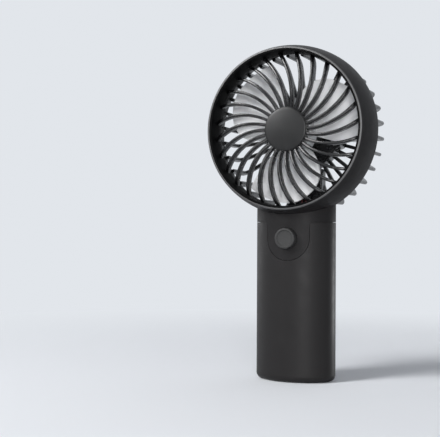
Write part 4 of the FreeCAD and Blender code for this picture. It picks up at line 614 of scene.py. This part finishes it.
# The pitched sheet that the blade is cut from
SHEET_START, SHEET_SWEEP = -21.0, 107.0
BLADE_FRONT, BLADE_PITCH, BLADE_CAMBER, BLADE_THICKNESS = 14.5, 7.5, 0.8, 1.5
CUP_OUTER, CUP_INNER, CUP_FACE, CUP_RIM, CUP_WEB = 14.5, 12.9, 13.3, 26.0, 15.7
BOSS_RADIUS, BOSS_BORE, BOSS_END, SCREW_SINK, SCREW_SEAT = 3.6, 1.5, 22.3, 2.5, 14.8


def between(table, at):
    """A smooth value from a table of (place, value)."""
    i = next(i for i in range(len(table) - 1) if at <= table[i + 1][0])
    before = table[max(i - 1, 0)]
    here, there = table[i], table[i + 1]
    after = table[min(i + 2, len(table) - 1)]
    width = there[0] - here[0]
    slope_here = (there[1] - before[1]) / (there[0] - before[0])
    slope_there = (after[1] - here[1]) / (after[0] - here[0])
    t = (at - here[0]) / width
    return (
        here[1] * (2 * t**3 - 3 * t**2 + 1)
        + slope_here * width * (t**3 - 2 * t**2 + t)
        + there[1] * (3 * t**2 - 2 * t**3)
        + slope_there * width * (t**3 - t**2)
    )


def sheet_depth(angle):
    """Depth of the pitched, slightly cambered sheet at this angle."""
    share = (angle - SHEET_START) / SHEET_SWEEP
    return BLADE_FRONT + BLADE_PITCH * (1 - share) + BLADE_CAMBER * math.sin(math.pi * share)


def blade(name, turn):
    """A blade of even thickness: a front and a back grid, joined round their border."""
    across, along = BLADE_ACROSS, BLADE_ALONG
    points, faces = [], []
    for side in (0, 1):
        for station in quarter(along):
            share = math.sin(station)
            radius = BLADE_ROOT + (BLADE_TIP - BLADE_ROOT) * share
            first, last = between(LEADING, share), between(TRAILING, share)
            for i in range(across + 1):
                angle = BLADE_START + first + (last - first) * i / across
                depth = sheet_depth(angle) + side * BLADE_THICKNESS
                points.append(head_point(radius, angle + turn, depth))
    row = across + 1
    size = row * (along + 1)
    for j in range(along):
        for i in range(across):
            a = j * row + i
            faces.append([a, a + 1, a + row + 1, a + row])
            faces.append([size + a, size + a + row, size + a + row + 1, size + a + 1])
    border = [j * row for j in range(along + 1)]
    border += [along * row + i for i in range(1, across + 1)]
    border += [j * row + across for j in range(along - 1, -1, -1)]
    border += list(range(across - 1, 0, -1))
    for here, there in zip(border, border[1:] + border[:1]):
        faces.append([here, there, size + there, size + here])
    piece(
        name, points, faces, "blade_grey", body="rotor", replaces=["impeller"], sharp=40.0,
        bevel=0.35,
    )


for step in range(3):
    blade(f"impeller_blade_{step + 1}", 120 * step)
turned(
    "impeller_hub_cup",
    [
        (BOSS_BORE, SCREW_SEAT, 0), (SCREW_SINK, SCREW_SEAT, 0), (SCREW_SINK, CUP_FACE, 0.1),
        (CUP_OUTER, CUP_FACE, 1.6), (CUP_OUTER, CUP_RIM, 0.4), (CUP_INNER, CUP_RIM, 0.4),
        (CUP_INNER, CUP_WEB, 0.8), (BOSS_RADIUS, CUP_WEB, 0.3), (BOSS_RADIUS, BOSS_END, 0.3),
        (BOSS_BORE, BOSS_END, 0),
    ],
    "blade_grey", body="rotor", replaces=["impeller"],
)


# -----------------------------------------------------------------------------------------
# Button
# -----------------------------------------------------------------------------------------
BUTTON_HEIGHT = 89.7
BUTTON_RADIUS, BUTTON_INSIDE, BUTTON_FRONT, BUTTON_WALL = 6.4, 5.2, 4.7, 1.2
RIM_INSIDE, DISH_EDGE, DISH_DEPTH, DISH_MIDDLE = 5.1, 4.6, 0.50, 0.55
FLANGE_RADIUS, FLANGE_FRONT, FLANGE_BACK, STEM_RADIUS = 7.6, 13.8, 14.8, 2.9

turned(
    "power_button_cap",
    [
        (0, BUTTON_FRONT + DISH_MIDDLE, 0), (DISH_EDGE, BUTTON_FRONT + DISH_DEPTH, 0.3),
        (RIM_INSIDE, BUTTON_FRONT, 0.3), (BUTTON_RADIUS, BUTTON_FRONT, 0.8),
        (BUTTON_RADIUS, FLANGE_FRONT, 0), (FLANGE_RADIUS, FLANGE_FRONT, 0.1),
        (FLANGE_RADIUS, FLANGE_BACK, 0.1), (BUTTON_INSIDE, FLANGE_BACK, 0.1),
        (BUTTON_INSIDE, BUTTON_FRONT + BUTTON_WALL, 0.2),
        (STEM_RADIUS, BUTTON_FRONT + BUTTON_WALL, 0.2),
        (STEM_RADIUS, FLANGE_BACK, 0.1), (0, FLANGE_BACK, 0),
    ],
    "button_grey", segments=120, height=BUTTON_HEIGHT, body="button", replaces=["power_button"],
)


# -----------------------------------------------------------------------------------------
# Stage, lights and camera, all in metres
# -----------------------------------------------------------------------------------------
BACKGROUND = (0.76, 0.79, 0.83, 1)
PAPER = (0.80, 0.82, 0.85, 1)
NEAR, FAR = 0.10, 0.55  # from the fan's foot, where the paper fades into the background
STAGE_HALF, STAGE_START, STAGE_TOP = 2.2, -1.6, 1.8
CURVE_START, CURVE_RADIUS, CURVE_STEPS = 0.6, 0.5, 12
SOFT_LIGHT, SOFT_STRENGTH = (0.9, 0.93, 1.0, 1), 0.18
HEAD_AIM, FOOT_AIM, RIM_AIM = (0, 0, 0.12), (0, 0, 0.06), (0, 0, 0.03)
CAMERA_PLACE = (0.1978, -0.5664, 0.094)
CAMERA_AZIMUTH, CAMERA_PITCH, CAMERA_ROLL = 23.9, 0.77, 0.3
CAMERA_LENS, CAMERA_SENSOR, CAMERA_CLIP = 76.66, 36.0, 0.01


def seen(tree, x, y):
    """1 for the rays that look at the background: straight, mirrored or through something."""
    path = node_of(tree, "ShaderNodeLightPath", x, y)
    share = path.outputs["Is Camera Ray"]
    for step, kind in enumerate(("Is Glossy Ray", "Is Transmission Ray")):
        either = node_of(
            tree, "ShaderNodeMath", x + 200 * (step + 1), y, operation="MAXIMUM"
        )
        tree.links.new(share, either.inputs[0])
        tree.links.new(path.outputs[kind], either.inputs[1])
        share = either.outputs["Value"]
    return share


def stage_paper():
    """Paper that takes the shadow near the fan and shows an even pale tone away from it."""
    paper = bpy.data.materials.new("stage_paper")
    paper.use_nodes = True
    tree = paper.node_tree
    shader = tree.nodes["Principled BSDF"]
    shader.inputs["Base Color"].default_value = PAPER
    shader.inputs["Roughness"].default_value = 0.9
    shader.inputs["Specular IOR Level"].default_value = 0.1
    place = node_of(tree, "ShaderNodeTexCoord", -900, -300)
    reach = node_of(tree, "ShaderNodeVectorMath", -720, -300, operation="LENGTH")
    tree.links.new(place.outputs["Object"], reach.inputs["Vector"])
    away = ramp(
        tree, reach.outputs["Value"], -540, -300, NEAR, FAR, interpolation_type="SMOOTHSTEP"
    )
    share = node_of(tree, "ShaderNodeMath", -320, -100, operation="MULTIPLY")
    tree.links.new(seen(tree, -900, 200), share.inputs[0])
    tree.links.new(away, share.inputs[1])
    glow = node_of(tree, "ShaderNodeEmission", -100, -260, {"Color": BACKGROUND})
    blend = node_of(tree, "ShaderNodeMixShader", 320, 0)
    tree.links.new(share.outputs["Value"], blend.inputs["Fac"])
    tree.links.new(shader.outputs["BSDF"], blend.inputs[1])
    tree.links.new(glow.outputs["Emission"], blend.inputs[2])
    tree.links.new(blend.outputs["Shader"], tree.nodes["Material Output"].inputs["Surface"])
    return paper


def stage_sheet():
    """A pale floor that curves up into its backdrop."""
    profile = [(STAGE_START, 0.0), (CURVE_START, 0.0)]
    for turn in quarter(CURVE_STEPS)[1:]:
        profile.append((
            CURVE_START + CURVE_RADIUS * math.sin(turn),
            CURVE_RADIUS - CURVE_RADIUS * math.cos(turn),
        ))
    profile.append((CURVE_START + CURVE_RADIUS, STAGE_TOP))
    points, faces = [], []
    for y, z in profile:
        points += [(-STAGE_HALF, y, z), (STAGE_HALF, y, z)]
    for i in range(len(profile) - 1):
        faces.append([2 * i, 2 * i + 1, 2 * i + 3, 2 * i + 2])
    mesh = bpy.data.meshes.new("stage")
    mesh.from_pydata(points, [], faces)
    for face in mesh.polygons:
        face.use_smooth = True
    sheet = bpy.data.objects.new("stage", mesh)
    bpy.context.scene.collection.objects.link(sheet)
    mesh.materials.append(stage_paper())


def studio_world():
    """Faint light from all round; looked at, it has the background's pale tone."""
    world = bpy.data.worlds.new("studio")
    bpy.context.scene.world = world
    world.use_nodes = True
    tree = world.node_tree
    soft = tree.nodes["Background"]
    soft.inputs["Color"].default_value = SOFT_LIGHT
    soft.inputs["Strength"].default_value = SOFT_STRENGTH
    pale = node_of(tree, "ShaderNodeBackground", 0, -200, {"Color": BACKGROUND})
    blend = node_of(tree, "ShaderNodeMixShader", 200, 0)
    tree.links.new(seen(tree, -600, 200), blend.inputs["Fac"])
    tree.links.new(soft.outputs["Background"], blend.inputs[1])
    tree.links.new(pale.outputs["Background"], blend.inputs[2])
    tree.links.new(blend.outputs["Shader"], tree.nodes["World Output"].inputs["Surface"])


def lamp(name, place, aim, size, power, spread=180.0):
    """A square or oblong lamp of this power in watts, its beam as wide as spread in degrees."""
    light = bpy.data.lights.new(name, "AREA")
    light.shape = "RECTANGLE"
    light.size, light.size_y = size
    light.energy = power
    light.spread = math.radians(spread)
    thing = bpy.data.objects.new(name, light)
    thing.visible_camera = False
    bpy.context.scene.collection.objects.link(thing)
    thing.location = place
    thing.rotation_euler = (Vector(aim) - Vector(place)).to_track_quat("-Z", "Y").to_euler()


def camera_view():
    """The photograph's view of the fan."""
    camera = bpy.data.cameras.new("camera")
    camera.lens = CAMERA_LENS
    camera.sensor_width = CAMERA_SENSOR
    camera.clip_start = CAMERA_CLIP
    viewer = bpy.data.objects.new("camera", camera)
    bpy.context.scene.collection.objects.link(viewer)
    viewer.location = CAMERA_PLACE
    azimuth = math.radians(CAMERA_AZIMUTH)
    pitch = math.radians(CAMERA_PITCH)
    aim = Vector((-math.sin(azimuth), math.cos(azimuth), math.tan(pitch)))
    lean = Quaternion((0, 0, 1), math.radians(CAMERA_ROLL))
    viewer.rotation_euler = (aim.to_track_quat("-Z", "Y") @ lean).to_euler()
    bpy.context.scene.camera = viewer


stage_sheet()
lamp("key", (-1.04, -1.46, 0.95), HEAD_AIM, (0.6, 0.6), 23.0)
lamp("rim", (0.55, 0.65, 0.03), RIM_AIM, (0.05, 0.05), 0.013, spread=14.0)
lamp("edge", (-0.95, 0.20, 0.14), FOOT_AIM, (0.25, 0.25), 0.8)
lamp("fill", (0.70, -1.77, 0.30), HEAD_AIM, (0.6, 0.5), 18.0)
lamp("top", (-0.55, -0.75, 1.15), HEAD_AIM, (0.4, 0.4), 7.0)
studio_world()
camera_view()
bpy.context.scene.view_settings.view_transform = "Standard"
